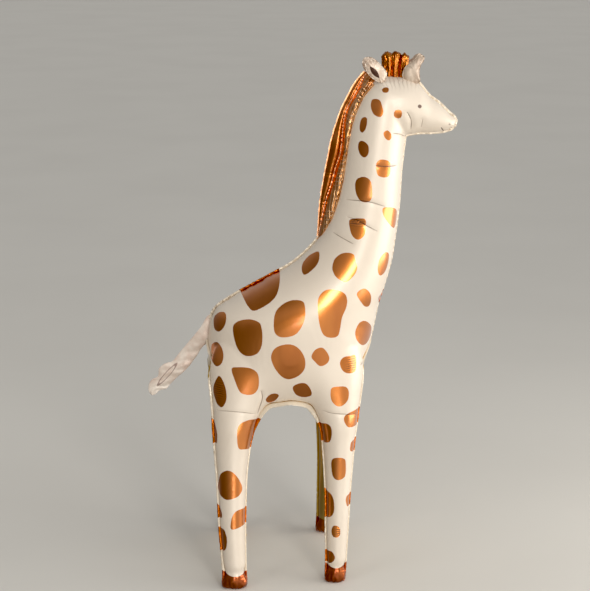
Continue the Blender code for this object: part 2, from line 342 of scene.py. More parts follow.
edges = read(envelope_mesh, "edges", "vertices", 2, np.int32)
envelope_mesh.calc_loop_triangles()
triangles = read(envelope_mesh, "loop_triangles", "vertices", 3, np.int32)
count = len(envelope_mesh.vertices)
degree = np.bincount(edges.ravel(), minlength=count)[:, None]


def neighbour_mean(values):
    """For each vertex, the mean of the values at the other ends of its edges."""
    start, end = edges.T
    total = np.stack([np.bincount(start, column[end], count) + np.bincount(end, column[start], count)
                      for column in values.T], axis=1)
    return total / degree


def relaxed(points, rounds, pull, push):
    """Smoothing that doesn't shrink: each round moves the points by pull towards the mean of their
    neighbours, and then by push, which is negative, away from it."""
    for _ in range(rounds):
        for step in (pull, push):
            points = points + step * (neighbour_mean(points) - points)
    return points


def outward(points):
    """Vertex normals: the sum of the normals of the triangles round a vertex, by area."""
    a, b, c = (points[triangles[:, n]] for n in range(3))
    cross = np.cross(b - a, c - a)
    total = np.stack([sum(np.bincount(triangles[:, n], column, count) for n in range(3))
                      for column in cross.T], axis=1)
    return unit(total)


# The legs run softly into the trunk at the hips. The flanks are evened sideways only, and far more, as
# film is drawn tight there. The belly sags a little between the legs.
hull = relaxed(read(envelope_mesh, "vertices", "co", 3, np.float32).astype(float),
               RELAX_ROUNDS, RELAX_PULL, RELAX_PUSH)
hip = bell(hull[:, 2] - HIP_HEIGHT, 0.035)[:, None]
for _ in range(HIP_ROUNDS):
    hull = hull + 0.5 * hip * (neighbour_mean(hull) - hull)
flank = bell(hull[:, 2] - FLANK_HEIGHT, 0.080, 4) * np.clip((np.abs(hull[:, 1]) - 0.035) / 0.02, 0, 1)
for _ in range(FLANK_ROUNDS):
    hull[:, 1] += 0.5 * flank * (neighbour_mean(hull[:, 1:2])[:, 0] - hull[:, 1])
hull[:, 2] -= BELLY_SAG * bell(hull[:, 0] - BELLY_X, 0.062, 4) * bell(hull[:, 2] - BELLY_HEIGHT, 0.030)
hull_normals = outward(hull)
print("relaxed box", hull.min(axis=0).round(4), hull.max(axis=0).round(4))

# %% [markdown]
# ## Where the film is welded
# One weld runs in the middle plane, from the rump over the back and the head to the chest. At the rump
# and at the chest it splits, because a gusset lies between the legs, and then it runs down each leg and
# up over the arch of the belly. Each weld is drawn roughly and dropped onto the skin.

# %% Weld lines
TRUNK_BACK, TRUNK_FRONT = edge_points(TRUNK, 0, 1), edge_points(TRUNK, 2, 3)
HEAD_TOP, HEAD_BOTTOM = edge_points(HEAD, 0, 1), edge_points(HEAD, 2, 3)
STEP = 0.002
# Where the middle weld splits at the rump and at the chest, and how far up the legs' own edges are used.
SPLIT_HEIGHT = 0.462
RUMP_SPLIT, CHEST_SPLIT = (-0.181, 0, SPLIT_HEIGHT), (0.141, 0, SPLIT_HEIGHT)
OUTER_TOP, HIND_INNER_TOP, FRONT_INNER_TOP = 0.37, 0.30, 0.31
# The arch of the belly between the legs on the left side, as x, y, z in mm.
ARCH = ((-62, 88, 300), (-76, 86, 322), (-66, 86, 340), (-40, 88, 352), (-18, 89, 356), (4, 86, 349),
        (20, 82, 334), (28, 80, 316))


def dropped(path, calm):
    """The path moved onto the nearest place of the skin, and evened out calm times."""
    path = even_path(spline(path, 8), STEP)
    for _ in range(2):
        index, _ = nearest(path, hull)
        gap = ((path - hull[index]) * hull_normals[index]).sum(axis=1, keepdims=True)
        path = calmed(path - gap * hull_normals[index], calm, 2)
    return path


def leg_edge(stations, column, stance, top):
    """One edge of the right leg, from the floor up to a height, as points."""
    z, x = (np.array(stations, float)[::-1, [0, column]] * SHARE).T
    return np.stack([x - MIDDLE_X, -leg_middle(z, stance), z], axis=1)[z <= top]


def merged(low, split):
    """A leg's edge carried on upwards until it meets the middle plane.

    At share t of the way, x and z run in a straight line to the split, and y shrinks as
    cos(pi t / 2)^0.8.
    """
    start = low[-1]
    t = np.linspace(0, 1, 7)[1:]
    x, z = (start[k] + (split[k] - start[k]) * t for k in (0, 2))
    return np.vstack([low, np.stack([x, start[1] * np.cos(t * np.pi / 2) ** 0.8, z], axis=1)])


arch = np.array(ARCH, float)[1:-1] / 1000 * [1, -1, 1]
welds = {
    "middle": dropped(np.vstack([RUMP_SPLIT, TRUNK_BACK[4:19], HEAD_TOP[1:], HEAD_BOTTOM[:2:-1],
                                 TRUNK_FRONT[16:4:-1], CHEST_SPLIT]), 4),
    "rear": dropped(merged(leg_edge(HIND_LEG, 1, HIND_STANCE, OUTER_TOP), RUMP_SPLIT), 3),
    "front": dropped(merged(leg_edge(FRONT_LEG, 2, FRONT_STANCE, OUTER_TOP), CHEST_SPLIT), 3),
    "belly": dropped(np.vstack([leg_edge(HIND_LEG, 2, HIND_STANCE, HIND_INNER_TOP), arch,
                                leg_edge(FRONT_LEG, 1, FRONT_STANCE, FRONT_INNER_TOP)[::-1]]), 3),
}
for name, path in welds.items():
    print(name, "weld", round(len(path) * STEP, 3), "m")

# %% [markdown]
# ## Gathers and creases
# A flat panel that is blown up has too much film at its curved edges, so it gathers there: short sharp
# valleys run in from the weld and die out. A displacement does this well: a wave over the length of
# the weld, times a fall-off with the distance from it. A few long creases are pressed in one by one.

# %% Distances to the welds
def right_side(points):
    """The points mirrored onto the giraffe's right side, where the welds are drawn: y becomes -|y|."""
    return np.stack([points[:, 0], -np.abs(points[:, 1]), points[:, 2]], axis=1)


all_welds = np.vstack(list(welds.values()))
weld_start = np.cumsum([0] + [len(path) for path in welds.values()][:-1])
mirrored = right_side(hull)
mirrored_normals = hull_normals * np.where(hull[:, 1:2] > 0, [[1, -1, 1]], [[1, 1, 1]])
weld_index, weld_distance = nearest(mirrored, all_welds)
tangent = unit(np.vstack([np.gradient(path, axis=0) for path in welds.values()]))
slide = ((mirrored - all_welds[weld_index]) * tangent[weld_index]).sum(axis=1)
weld_place = weld_index * STEP + np.clip(slide, -STEP, STEP)
belongs = np.searchsorted(weld_start, weld_index, side="right") - 1
print("points within 5 mm of a weld", int((weld_distance < 0.005).sum()))

# %% Gathers
# How strongly the middle weld is gathered: x, z, strength.
MIDDLE_GATHERS = ((-181, 470, 0.5), (-178, 508, 1.0), (-150, 535, 1.1), (-110, 556, 1.2), (-70, 580, 1.1),
                  (-35, 600, 0.7), (0, 622, 0.35), (30, 650, 0.25), (60, 720, 0.3), (90, 860, 0.5),
                  (120, 945, 0.8), (150, 972, 1.0), (185, 975, 1.0), (215, 970, 0.7), (245, 940, 0.35),
                  (280, 905, 0.35), (298, 890, 0.9), (297, 872, 1.0), (265, 865, 0.45), (215, 860, 0.3),
                  (200, 830, 0.3), (192, 760, 0.25), (185, 690, 0.25), (165, 590, 0.35), (150, 510, 0.5),
                  (141, 462, 0.5))


def gather_strength():
    """Strength at every weld point: from the table on the middle weld, and by height on the others."""
    table = np.array(MIDDLE_GATHERS, float)
    spots = np.stack([table[:, 0], 0 * table[:, 0], table[:, 1]], axis=1) / 1000
    strengths = []
    for name, path in welds.items():
        if name == "middle":
            weight = 1 / (((path[:, None] - spots[None]) ** 2).sum(axis=2) + 1e-5) ** 1.5
            strengths.append((weight * table[:, 2]).sum(axis=1) / weight.sum(axis=1))
        else:
            at_foot = np.exp(-path[:, 2] / 0.018)
            strengths.append(0.12 + 0.9 * at_foot + 0.25 * bell(path[:, 2] - 0.36, 0.05))
    return np.concatenate(strengths)


def sharp_valleys(t, seed):
    """Round ridges with sharp valleys between them: 1 - |sin|, of a phase that wanders."""
    phase = np.pi * t + 0.9 * ripple(t * 0.23, seed, 3)
    return 1 - np.abs(np.sin(phase))


# Sharp gathers: depth, spacing along the weld, reach away from it, seed. Wide waves: the same.
SHARP_GATHERS = ((0.0012, 0.0105, 0.007, 3), (0.0017, 0.019, 0.017, 4))
WIDE_DEPTH, WIDE_SPACING, WIDE_REACH, WIDE_SEED = 0.0009, 0.052, 0.034, 5
TUCK_DEPTH, TUCK_WIDTH = 0.0012, 0.0035

weld_strength = gather_strength()
strength = weld_strength[weld_index]
uneven = 0.6 + 0.4 * ripple(weld_place / 0.045, 11, 4)
valleys = sum(depth * sharp_valleys(weld_place / spacing, seed) * np.exp(-weld_distance / reach)
              for depth, spacing, reach, seed in SHARP_GATHERS)
wide = ripple(weld_place / WIDE_SPACING, WIDE_SEED, 4) * np.exp(-weld_distance / WIDE_REACH)
gathers = -strength * uneven * valleys + WIDE_DEPTH * strength * wide
tuck = -TUCK_DEPTH * bell(weld_distance, TUCK_WIDTH)
print("deepest gather", round(float(-gathers.min()) * 1000, 2), "mm")

# %% Creases
# Each crease: depth in mm, half width in mm, and its line as x, z on the side of the giraffe.
CREASES = (
    (1.0, 4.0, ((171, 871), (188, 867), (201, 859))),
    (0.9, 3.5, ((137, 811), (154, 809), (172, 808), (184, 808))),
    (1.2, 4.5, ((83, 744), (111, 744), (133, 741), (162, 731))),
    (1.1, 4.0, ((85, 713), (107, 707), (122, 698), (147, 684))),
    (0.7, 3.5, ((92, 704), (118, 702))),
    (1.0, 5.0, ((60, 681), (77, 673), (100, 662))),
    (1.8, 5.0, ((198, 912), (206, 899), (209, 888), (209, 872))),
    (0.8, 5.0, ((231, 898), (229, 878))),
    (2.0, 3.5, ((-80, 387), (-77, 369), (-81, 352), (-87, 334))),
    (0.7, 3.0, ((-168, 345), (-140, 347), (-112, 344), (-88, 337))),
    (0.8, 3.0, ((36, 343), (52, 339), (81, 336), (106, 331))),
    (1.6, 3.5, ((132, 440), (124, 427), (112, 424))),
)


def pressed(points):
    """Depth of all creases at the points, and the signed distance and the weight of the nearest one.

    Across a crease its depth is a bell curve of the distance, and it fades out over its last part.
    The signed distance is positive above the line, so that it passes evenly through zero on it.
    """
    flat = points[:, [0, 2]]
    depth = np.zeros(len(points))
    signed = np.full(len(points), 0.05)
    weight = np.zeros(len(points))
    for deep, half, line in CREASES:
        path = even_path(spline(np.array(line, float) / 1000, 6), 0.0015)
        index, distance = nearest(flat, path)
        run = unit(np.gradient(path, axis=0))[index]
        offset = flat - path[index]
        across = run[:, 0] * offset[:, 1] - run[:, 1] * offset[:, 0]
        t = index / (len(path) - 1)
        fade = np.clip(np.minimum(t, 1 - t) / 0.22, 0, 1) ** 0.6
        valley = fade * bell(distance, half / 1000)
        depth = depth + deep / 1000 * valley
        valley = valley * min(1.0, 0.35 + 0.45 * deep)
        closer = valley > weight
        weight = np.where(closer, valley, weight)
        signed = np.where(closer, across, signed)
    return depth, signed, weight


crease_depth, crease_signed, crease_weight = pressed(mirrored)
on_side = np.clip(-mirrored_normals[:, 1] * 3, 0, 1)
crease_depth, crease_weight = crease_depth * on_side, crease_weight * on_side
print("deepest crease", round(float(crease_depth.max()) * 1000, 2), "mm")

# %% Feet
# The end of a leg is a cut tube welded flat, so it pinches into folds and its corners stick out.
# Middle x, half length and height of the printed hoof, for a hind and for a front foot.
HIND_FOOT = (-0.1335, 0.0225, 0.0275)
FRONT_FOOT = (0.0640, 0.0185, 0.0315)
FOOT_TOP = 0.042
FOLD_DEPTH, CORNER_REACH, WAIST_DEPTH = 0.0026, 0.0042, 0.0022


def foot_measures(points):
    """The three measures of the foot on each point's end of the giraffe, as three arrays."""
    return np.where(points[:, :1] < 0, HIND_FOOT, FRONT_FOOT).T


foot_x = foot_measures(mirrored)[0]
foot_y = -leg_middle(mirrored[:, 2], np.where(mirrored[:, 0] < 0, HIND_STANCE, FRONT_STANCE))
around = np.arctan2(mirrored[:, 1] - foot_y, mirrored[:, 0] - foot_x)
pinch = np.clip(1 - mirrored[:, 2] / FOOT_TOP, 0, 1) ** 1.2
folds = pinch * (FOLD_DEPTH * crumple(around * 2.6, mirrored[:, 2] / 0.030, 21) - 0.0008)
corner = CORNER_REACH * np.abs(np.cos(around)) ** 6 * bell(mirrored[:, 2] - 0.011, 0.010)
waist = -WAIST_DEPTH * bell(mirrored[:, 2] - 0.034, 0.008)
low = mirrored[:, 2] < 0.08
shape = hull + hull_normals * (gathers + tuck - crease_depth + low * (folds + corner + waist))[:, None]
shape[:, 2] = np.maximum(shape[:, 2], 0.0)
envelope_mesh.vertices.foreach_set("co", shape.astype(np.float32).ravel())
envelope_mesh.update()
print("envelope box", shape.min(axis=0).round(4), shape.max(axis=0).round(4))

# %% [markdown]
# ## The weld flange
# Outside each weld the two films lie flat on each other as a narrow band. It stands off the envelope
# all round the silhouette, catches the light, and waves a little because the film beside it gathers.
# A ribbon carried along each weld, square to the skin, is the direct way to make it.

# %% Flange
FLANGE = 0.0036
FILM = 0.0007
FLOOR_GAP = 0.0004


def ribbon(path, out, width, seed, root=0.0025, wave=0.0004):
    """A thin closed band that leaves the path along out.

    Its section is a flat loop of eight points from root inside the skin to width outside. The outer
    part moves along the band's thickness by a random wave, more towards the edge. The width may be one
    number, or one for each point of the path.
    """
    along = np.arange(len(path)) * STEP
    run = unit(np.gradient(path, axis=0))
    out = unit(out - run * (out * run).sum(axis=1, keepdims=True))
    thick = np.cross(run, out)
    part = np.array([0, 0.3, 0.7, 1, 1, 0.7, 0.3, 0])
    reach = part[None] * (width + 0 * along)[:, None] - root * (part == 0)[None]
    level = np.array([1, 1, 1, 0.6, -0.6, -1, -1, -1]) * FILM / 2
    edge = 1 + 0.04 * ripple(along / 0.013, seed + 1)[:, None] * part[None]
    shift = wave * ripple(along / 0.016, seed)[:, None] * part[None] ** 1.5
    rings = (path[:, None] + out[:, None] * (reach * edge)[..., None]
             + thick[:, None] * (level[None] + shift)[..., None])
    return skin(rings)


def skin_direction(path, calm):
    """The skin's outward direction along a path, evened out calm times."""
    index, _ = nearest(path, hull)
    return unit(calmed(hull_normals[index], calm))


def flange_direction(name, path):
    """Outwards from the envelope; on the middle weld exactly in the middle plane."""
    direction = skin_direction(path, 12)
    if name == "middle":
        direction = unit(direction * [1, 0, 1])
    return direction


def flange_width(name, path):
    """Wide over the arch of the belly, narrow down the front of each leg and of the neck."""
    x, z = path[:, 0], path[:, 2]
    if name == "belly":
        arch_part = np.clip((z - 0.30) / 0.04, 0, 1)
        return np.where(x < -0.02, 0.0024, 0.0034) + 0.0062 * arch_part
    if name == "front":
        return 0.0024
    if name == "middle":
        return FLANGE - 0.0014 * np.clip((x - 0.10) / 0.05, 0, 1) * np.clip((0.85 - z) / 0.05, 0, 1)
    return FLANGE + 0.0008


# inner_face is positive on the side of a leg's or the belly's band that faces the other side's.
bands, inner_faces = [], []
for seed, (name, path) in enumerate(welds.items()):
    direction = flange_direction(name, path)
    for side in ((1,) if name == "middle" else (1, -1)):
        turned = np.array([1, side, 1])
        wave = 0.0008 if name == "middle" else 0.0003
        band = ribbon(path * turned, direction * turned, flange_width(name, path), 40 + 3 * seed, wave=wave)
        centre = np.vstack([np.repeat(path * turned, 8, axis=0), path[:1] * turned, path[-1:] * turned])
        inner = (np.abs(centre[:, 1]) - np.abs(band[0][:, 1])) * 1000
        inner_faces.append(inner if name != "middle" else np.full(len(inner), -1.0))
        bands.append(band)
flange_points, flange_quads, flange_ends = joined(bands)
flange_points[:, 2] = np.maximum(flange_points[:, 2], FLOOR_GAP)
flange = new_piece("weld_flange", flange_points, flange_quads, flange_ends)
store(flange, "inner_face", np.concatenate(inner_faces))
store(flange, "gathered", weld_strength[nearest(right_side(flange_points), all_welds)[0]])
print("flange", len(flange_points), "points")

# %% [markdown]
# ## The printed spots
# The print could be drawn as an image, but an outline keeps its edges sharp at any size. Each spot is a
# closed spline through a few measured points of the side view, which both sides share. The signed
# distance to the nearest outline is kept on the vertices, and the material cuts it at zero. Where a
# spot runs over a weld its outline goes on past the edge of the body, so the flange is printed too.

# %% Table of spots
# Each row: the points of one outline as x, z in mm.
SPOTS = (
    ((165, 951), (163, 947), (159, 946), (154, 947), (152, 951), (154, 954), (159, 956), (164, 955)),
    ((141, 935), (148, 932), (152, 921), (154, 911), (151, 904), (146, 902), (137, 906), (132, 915),
     (131, 925), (134, 933)),
    ((190, 906), (188, 900), (183, 898), (176, 901), (174, 907), (176, 913), (182, 915), (188, 913)),
    ((120, 901), (124, 898), (123, 886), (120, 877), (115, 872), (111, 876), (111, 887), (114, 897)),
    ((155, 874), (162, 877), (169, 870), (170, 863), (166, 858), (160, 860), (155, 867)),
    ((111, 856), (118, 856), (125, 850), (127, 841), (125, 831), (119, 826), (112, 830), (108, 840),
     (108, 850)),
    ((147, 822), (160, 821), (168, 815), (169, 800), (166, 790), (156, 788), (145, 792), (141, 802),
     (141, 815)),
    ((111, 788), (122, 789), (131, 781), (134, 764), (133, 750), (127, 742), (113, 743), (105, 754),
     (102, 770), (104, 782)),
    ((155, 729), (164, 730), (176, 727), (185, 718), (184, 696), (180, 686), (172, 692), (162, 705),
     (155, 718)),
    ((91, 706), (99, 710), (111, 711), (121, 709), (122, 693), (118, 678), (107, 671), (97, 677),
     (92, 690)),
    ((34, 643), (23, 638), (11, 628), (3, 618), (1, 609), (5, 603), (16, 609), (28, 620), (34, 631)),
    ((58, 623), (63, 635), (74, 644), (87, 647), (98, 644), (101, 635), (105, 619), (98, 604),
     (83, 593), (72, 597), (63, 604), (58, 614)),
    ((162, 642), (169, 637), (169, 621), (163, 603), (152, 597), (146, 609), (148, 627), (154, 637)),
    ((-122, 566), (-94, 580), (-72, 592), (-44, 608), (-40, 596), (-46, 572), (-58, 557), (-78, 544),
     (-94, 538), (-104, 545), (-112, 555)),
    ((-53, 536), (-38, 553), (-19, 561), (-1, 560), (4, 550), (4, 532), (-1, 516), (-13, 499),
     (-30, 493), (-46, 494), (-55, 506)),
    ((28, 555), (32, 570), (45, 580), (64, 580), (80, 572), (85, 559), (83, 544), (75, 525),
     (71, 500), (66, 489), (52, 488), (40, 494), (33, 509), (29, 531)),
    ((104, 568), (111, 576), (121, 577), (131, 566), (134, 553), (131, 540), (122, 540), (113, 551)),
    ((174, 559), (177, 552), (171, 528), (163, 511), (157, 527), (151, 551)),
    ((103, 495), (111, 509), (124, 509), (137, 493), (138, 473), (129, 460), (118, 460), (108, 471),
     (103, 483)),
    ((-132, 506), (-120, 518), (-100, 523), (-83, 519), (-78, 507), (-77, 488), (-80, 470),
     (-90, 457), (-108, 453), (-122, 462), (-130, 483)),
    ((-167, 514), (-157, 524), (-146, 526), (-145, 514), (-150, 500), (-159, 490), (-167, 492),
     (-169, 504)),
    ((-173, 459), (-164, 469), (-155, 464), (-151, 451), (-154, 436), (-163, 428), (-170, 431),
     (-174, 439)),
    ((-161, 411), (-153, 404), (-147, 386), (-147, 367), (-155, 353), (-165, 358), (-171, 375),
     (-170, 392)),
    ((-136, 427), (-125, 431), (-101, 430), (-86, 419), (-85, 393), (-94, 380), (-109, 379),
     (-121, 385), (-130, 406)),
    ((-61, 453), (-54, 470), (-37, 478), (-18, 477), (-4, 465), (4, 447), (3, 429), (-8, 415),
     (-27, 408), (-42, 415), (-55, 433)),
    ((16, 453), (23, 466), (35, 470), (44, 463), (51, 448), (46, 437), (33, 433), (23, 442)),
    ((72, 438), (78, 446), (92, 447), (103, 445), (103, 418), (92, 414), (80, 418), (73, 428)),
    ((-18, 393), (-6, 399), (6, 398), (15, 386), (17, 373), (4, 368), (-10, 372), (-18, 383)),
    ((-70, 368), (-60, 377), (-49, 377), (-46, 371), (-54, 360), (-63, 356), (-70, 361)),
    ((53, 381), (56, 389), (68, 391), (83, 389), (89, 379), (87, 363), (76, 353), (65, 353), (55, 364)),
    ((79, 330), (91, 338), (114, 340), (118, 325), (112, 311), (91, 309), (82, 317)),
    ((-185, 325), (-172, 322), (-166, 306), (-165, 290), (-168, 279), (-182, 276), (-185, 300)),
    ((-127, 307), (-122, 322), (-109, 328), (-96, 328), (-74, 319), (-80, 301), (-88, 281),
     (-93, 267), (-112, 271), (-125, 277)),
    ((-164, 201), (-160, 222), (-149, 232), (-137, 230), (-125, 216), (-118, 196), (-124, 184),
     (-135, 179), (-149, 176), (-160, 181), (-164, 189)),
    ((-176, 162), (-163, 158), (-158, 146), (-160, 137), (-176, 133)),
    ((-142, 126), (-138, 145), (-126, 156), (-103, 151), (-102, 128), (-121, 123), (-133, 120),
     (-140, 120)),
    ((-173, 113), (-156, 118), (-150, 105), (-149, 91), (-154, 76), (-168, 71), (-172, 86), (-174, 101)),
    ((21, 306), (39, 315), (49, 316), (55, 308), (55, 290), (50, 279), (33, 276), (24, 290)),
    ((55, 242), (59, 249), (71, 251), (81, 247), (83, 235), (82, 215), (75, 208), (64, 207),
     (57, 215), (55, 230)),
    ((95, 279), (109, 283), (113, 280), (112, 261), (108, 254), (93, 260), (92, 270)),
    ((36, 181), (50, 180), (57, 173), (60, 159), (59, 142), (51, 131), (36, 129)),
    ((87, 174), (102, 173), (104, 163), (102, 153), (88, 150), (84, 157), (83, 167)),
    ((55, 109), (59, 116), (66, 116), (71, 110), (71, 98), (65, 93), (59, 94), (55, 99)),
    ((36, 59), (52, 65), (58, 61), (61, 53), (57, 45), (49, 40), (36, 42)),
)


SPOT_REACH = 12.0


def inside(flat, loop):
    """Whether points lie inside a closed loop: a ray to the right then crosses it an odd number of
    times."""
    odd = np.zeros(len(flat), bool)
    for (x1, z1), (x2, z2) in zip(loop, np.roll(loop, -1, axis=0)):
        if z1 != z2:
            crossing = x1 + (flat[:, 1] - z1) * (x2 - x1) / (z2 - z1)
            odd ^= ((z1 > flat[:, 1]) != (z2 > flat[:, 1])) & (flat[:, 0] < crossing)
    return odd


def spot_distance(points):
    """Signed distance in mm, in the side view, to the nearest outline; negative inside a spot.

    Past SPOT_REACH it isn't measured, as only its sign and the values near zero are used.
    """
    best = np.full(len(points), SPOT_REACH)
    flat = points[:, [0, 2]] * 1000
    for outline in SPOTS:
        line = np.array(outline, float)
        count = len(line)
        loop = spline(np.vstack([line[-2:], line, line[:2]]), 6)[12:12 + 6 * count]
        path = even_path(np.vstack([loop, loop[:1]]), 0.8)
        reach = np.ptp(line, axis=0) / 2 + SPOT_REACH
        near = np.flatnonzero((np.abs(flat - line.mean(axis=0)) < reach).all(axis=1))
        _, distance = nearest(flat[near], path)
        distance = np.where(inside(flat[near], loop), -distance, distance)
        best[near] = np.minimum(best[near], distance)
    return best


# The side view foreshortens a slanting surface, so the distance is divided by its share of Y.
envelope_spots = spot_distance(mirrored)
slant = np.maximum(np.abs(mirrored_normals[:, 1]), 0.35)
store(envelope, "spot", envelope_spots / slant)
store(flange, "spot", spot_distance(flange_points))
print("printed share", round(float((envelope_spots < 0).mean()), 3))

# %% Gusset, hooves and the other films
# The gusset lies nearer to the middle plane than the weld beside it.
HOOF_RISE = 0.0050
NOT_GUSSET = 12.0
# Fine pleats in four spots: the middle of a patch as x, z and its half width and half height, in mm.
PLEATS = ((94, 431, 9, 15), (-160, 386, 8, 15), (106, 701, 14, 5), (68, 104, 5, 9))
CROWN_X, CROWN_HEIGHT = 197, 966


def above_hoof(points):
    """Height in mm above the edge of the printed hoof, which rises by the square of the way from the
    middle of the foot to its front or back."""
    middle, half, top = foot_measures(points)
    way = np.clip((points[:, 0] - middle) / half, -1.2, 1.2)
    return (points[:, 2] - top - HOOF_RISE * way ** 2) * 1000


below = mirrored[:, 2] < SPLIT_HEIGHT + 0.004
gusset = np.where(below & (belongs > 0),
                  (np.abs(mirrored[:, 1]) - np.abs(all_welds[weld_index, 1])) * 1000, NOT_GUSSET)
store(envelope, "gusset", gusset)
store(envelope, "hoof", above_hoof(mirrored))
store(envelope, "crease", crease_signed * 1000)
store(envelope, "crease_weight", crease_weight)
store(envelope, "weld_place", weld_place * 1000)
store(envelope, "weld_near", strength * uneven * np.exp(-weld_distance / 0.012))
store(envelope, "weld_gap", weld_distance * 1000)
side_x, side_z = mirrored[:, 0] * 1000, mirrored[:, 2] * 1000
store(envelope, "pleats", sum(bell(side_x - x, half_width, 4) * bell(side_z - z, half_height, 4)
                              for x, z, half_width, half_height in PLEATS))
store(envelope, "crown_pleats", bell(side_x - CROWN_X, 50, 4) * bell(side_z - CROWN_HEIGHT, 11))
store(flange, "hoof", above_hoof(flange_points))
print("gusset share", round(float((gusset < 0).mean()), 3))

# %% [markdown]
# ## The mane
# The mane is a fin of two lobes: a smooth one along the outside and a crushed one against the neck,
# with a weld between them. Each level of it is a section: half its thickness as a function of the way
# from the outer edge to the root. The section is carried from the foot of the mane to its tip, and the
# inner lobe is crushed with a faceted wave, because real foil folds into flat facets.

# %% Stations of the mane
# Outer edge x, z, root x, z inside the neck, share of the full thickness.
MANE = ((67, 645, 80, 652, 30), (68, 662, 98, 668, 72), (69, 681, 112, 687, 94), (72, 722, 128, 727, 100),
        (80, 771, 134, 771, 100), (86, 803, 138, 803, 100), (94, 842, 143, 838, 100),
        (109, 889, 152, 876, 100), (122, 917, 166, 900, 95), (137, 944, 181, 922, 80),
        (154, 964, 190, 941, 40))
# The weld between the lobes and the inner edge that shows beside the neck, as x, z in mm.
LOBE_WELD = ((35, 659), (41, 693), (52, 742), (60, 765), (69, 800), (79, 833), (86, 900), (103, 936),
             (118, 966))
INNER_EDGE = ((46, 672), (59, 690), (67, 710), (74, 729), (80, 749), (84, 768), (87, 797), (89, 816),
              (91, 849), (94, 874), (100, 896), (109, 915), (116, 930), (126, 943), (137, 962))
# Half thickness at the neck and of the outer lobe, and the width of the flat band outside it, in metres.
ROOT_HALF, OUTER_HALF, MANE_BAND = 0.0205, 0.0105, 0.0032
MANE_SIDES, ROWS_PER_MANE_STATION = 128, 40
CROWN_Z = 0.885

mane_rows = spline(np.hstack([edge_points(MANE, 0, 1), edge_points(MANE, 2, 3),
                              np.array(MANE, float)[:, 4:] / 100]), ROWS_PER_MANE_STATION)
mane_outer, mane_root, fullness = mane_rows[:, :3], mane_rows[:, 3:6], mane_rows[:, 6]
mane_width = np.linalg.norm(mane_root - mane_outer, axis=1)
mane_reach = (mane_root - mane_outer) / mane_width[:, None]


def shares_of(line):
    """For every level of the mane, how far along its width a drawn line crosses it, as a share."""
    path = even_path(spline(np.array(line, float) / 1000, 8), 0.001)
    path = np.stack([path[:, 0], 0 * path[:, 0], path[:, 1]], axis=1)
    offset = path[None] - mane_outer[:, None]
    level = np.abs((offset * np.cross(mane_reach, [0.0, 1.0, 0.0])[:, None]).sum(axis=2))
    best = level.argmin(axis=1)
    share = np.take_along_axis((offset * mane_reach[:, None]).sum(axis=2), best[:, None], axis=1)[:, 0]
    return share / mane_width


lobe_share = calmed(np.clip(shares_of(LOBE_WELD), 0.14, 0.75), 30)
edge_share = calmed(np.clip(shares_of(INNER_EDGE), 0.35, 1.0), 30)
print("lobe weld at", lobe_share[::80].round(2), "inner edge at", edge_share[::80].round(2))


# %% Section of the mane
def mane_half_thickness(w):
    """Half the mane's thickness at shares w of its width, and how far w lies across either lobe.

    A flat band lies outside. Then the outer lobe is sin(pi q)^0.6 from the band to the lobe weld, and
    the inner lobe is sin(pi q / 2)^0.55 from the weld to where it is fullest, and full from there on.
    """
    band = (MANE_BAND / mane_width)[:, None]
    weld, edge = lobe_share[:, None], edge_share[:, None]
    outer = np.clip((w - band) / (weld - band), 0, 1)
    inner = np.clip((w - weld) / np.maximum(0.62 * (edge - weld), 0.05), 0, 1)
    slim = np.clip((weld - band) * mane_width[:, None] / 0.020, 0.35, 1.1)
    lobe = OUTER_HALF * slim * np.sin(np.pi * outer) ** 0.6
    root = ROOT_HALF * np.sin(np.pi / 2 * inner) ** 0.55
    return 0.0004 + (lobe + root) * fullness[:, None] ** 0.8, outer, inner


# Round each section: w runs from the outer edge to the root and back, and face says on which side.
turn = np.arange(MANE_SIDES) * 2 * np.pi / MANE_SIDES
w = np.tile(((1 - np.cos(turn)) / 2)[None], (len(mane_rows), 1))
face = np.where(turn < np.pi, -1.0, 1.0)[None] * np.ones_like(w)
half, outer_part, inner_part = mane_half_thickness(w)
across = w * mane_width[:, None]
mane_length = np.r_[0, np.cumsum(np.linalg.norm(np.diff(mane_outer, axis=0), axis=1))][:, None]
on_inner = np.clip(inner_part * 3, 0, 1) * np.clip(fullness[:, None] * 1.6 - 0.3, 0, 1)
on_outer = np.sin(np.pi * outer_part) ** 0.5
near_crown = np.clip((mane_outer[:, 2:] - CROWN_Z) / 0.06, 0, 1)
print("mane", round(float(mane_length[-1, 0]), 3), "m long,",
      round(float(half.max()) * 2000, 1), "mm thick")

# %% Crushed film of the mane
# The inner lobe is crushed, more so near the crown. The outer one is soft, waves beside its weld, and
# has four sharp pleats at these lengths along it.
MANE_PLEATS = (0.068, 0.074, 0.128, 0.133)

crush = ((0.0003 + 0.0020 * near_crown) * crumple(mane_length / 0.012, across / 0.011, 7, 7, 0.8, 1.3)
         + (0.0002 + 0.0003 * near_crown) * crumple(mane_length / 0.006, across / 0.005, 8, 6))
weld_gap = np.abs(w - lobe_share[:, None]) * mane_width[:, None]
beside_weld = np.exp(-weld_gap / 0.005)
soft = (0.0003 * ripple(mane_length / 0.060 + 0 * w, 31)
        + 0.0003 * beside_weld * ripple(mane_length / 0.010 + 0 * w, 32)
        + (0.0001 + 0.0010 * near_crown) * crumple(mane_length / 0.030, across / 0.012, 9, 5, 1.0, 1.6))
pleats = -0.0011 * sum(bell(mane_length - at, 0.0016) for at in MANE_PLEATS)
half = np.maximum(half + on_inner * crush + on_outer * (soft + pleats), 0.0004)
sway = 0.0001 * np.exp(-across / 0.004) * ripple(mane_length / 0.020 + 0 * w, 33)
crest = 0.0003 * ripple(mane_length / 0.025, 34) * (w < 0.02)
mane_rings = mane_outer[:, None] + mane_reach[:, None] * (across - crest)[..., None]
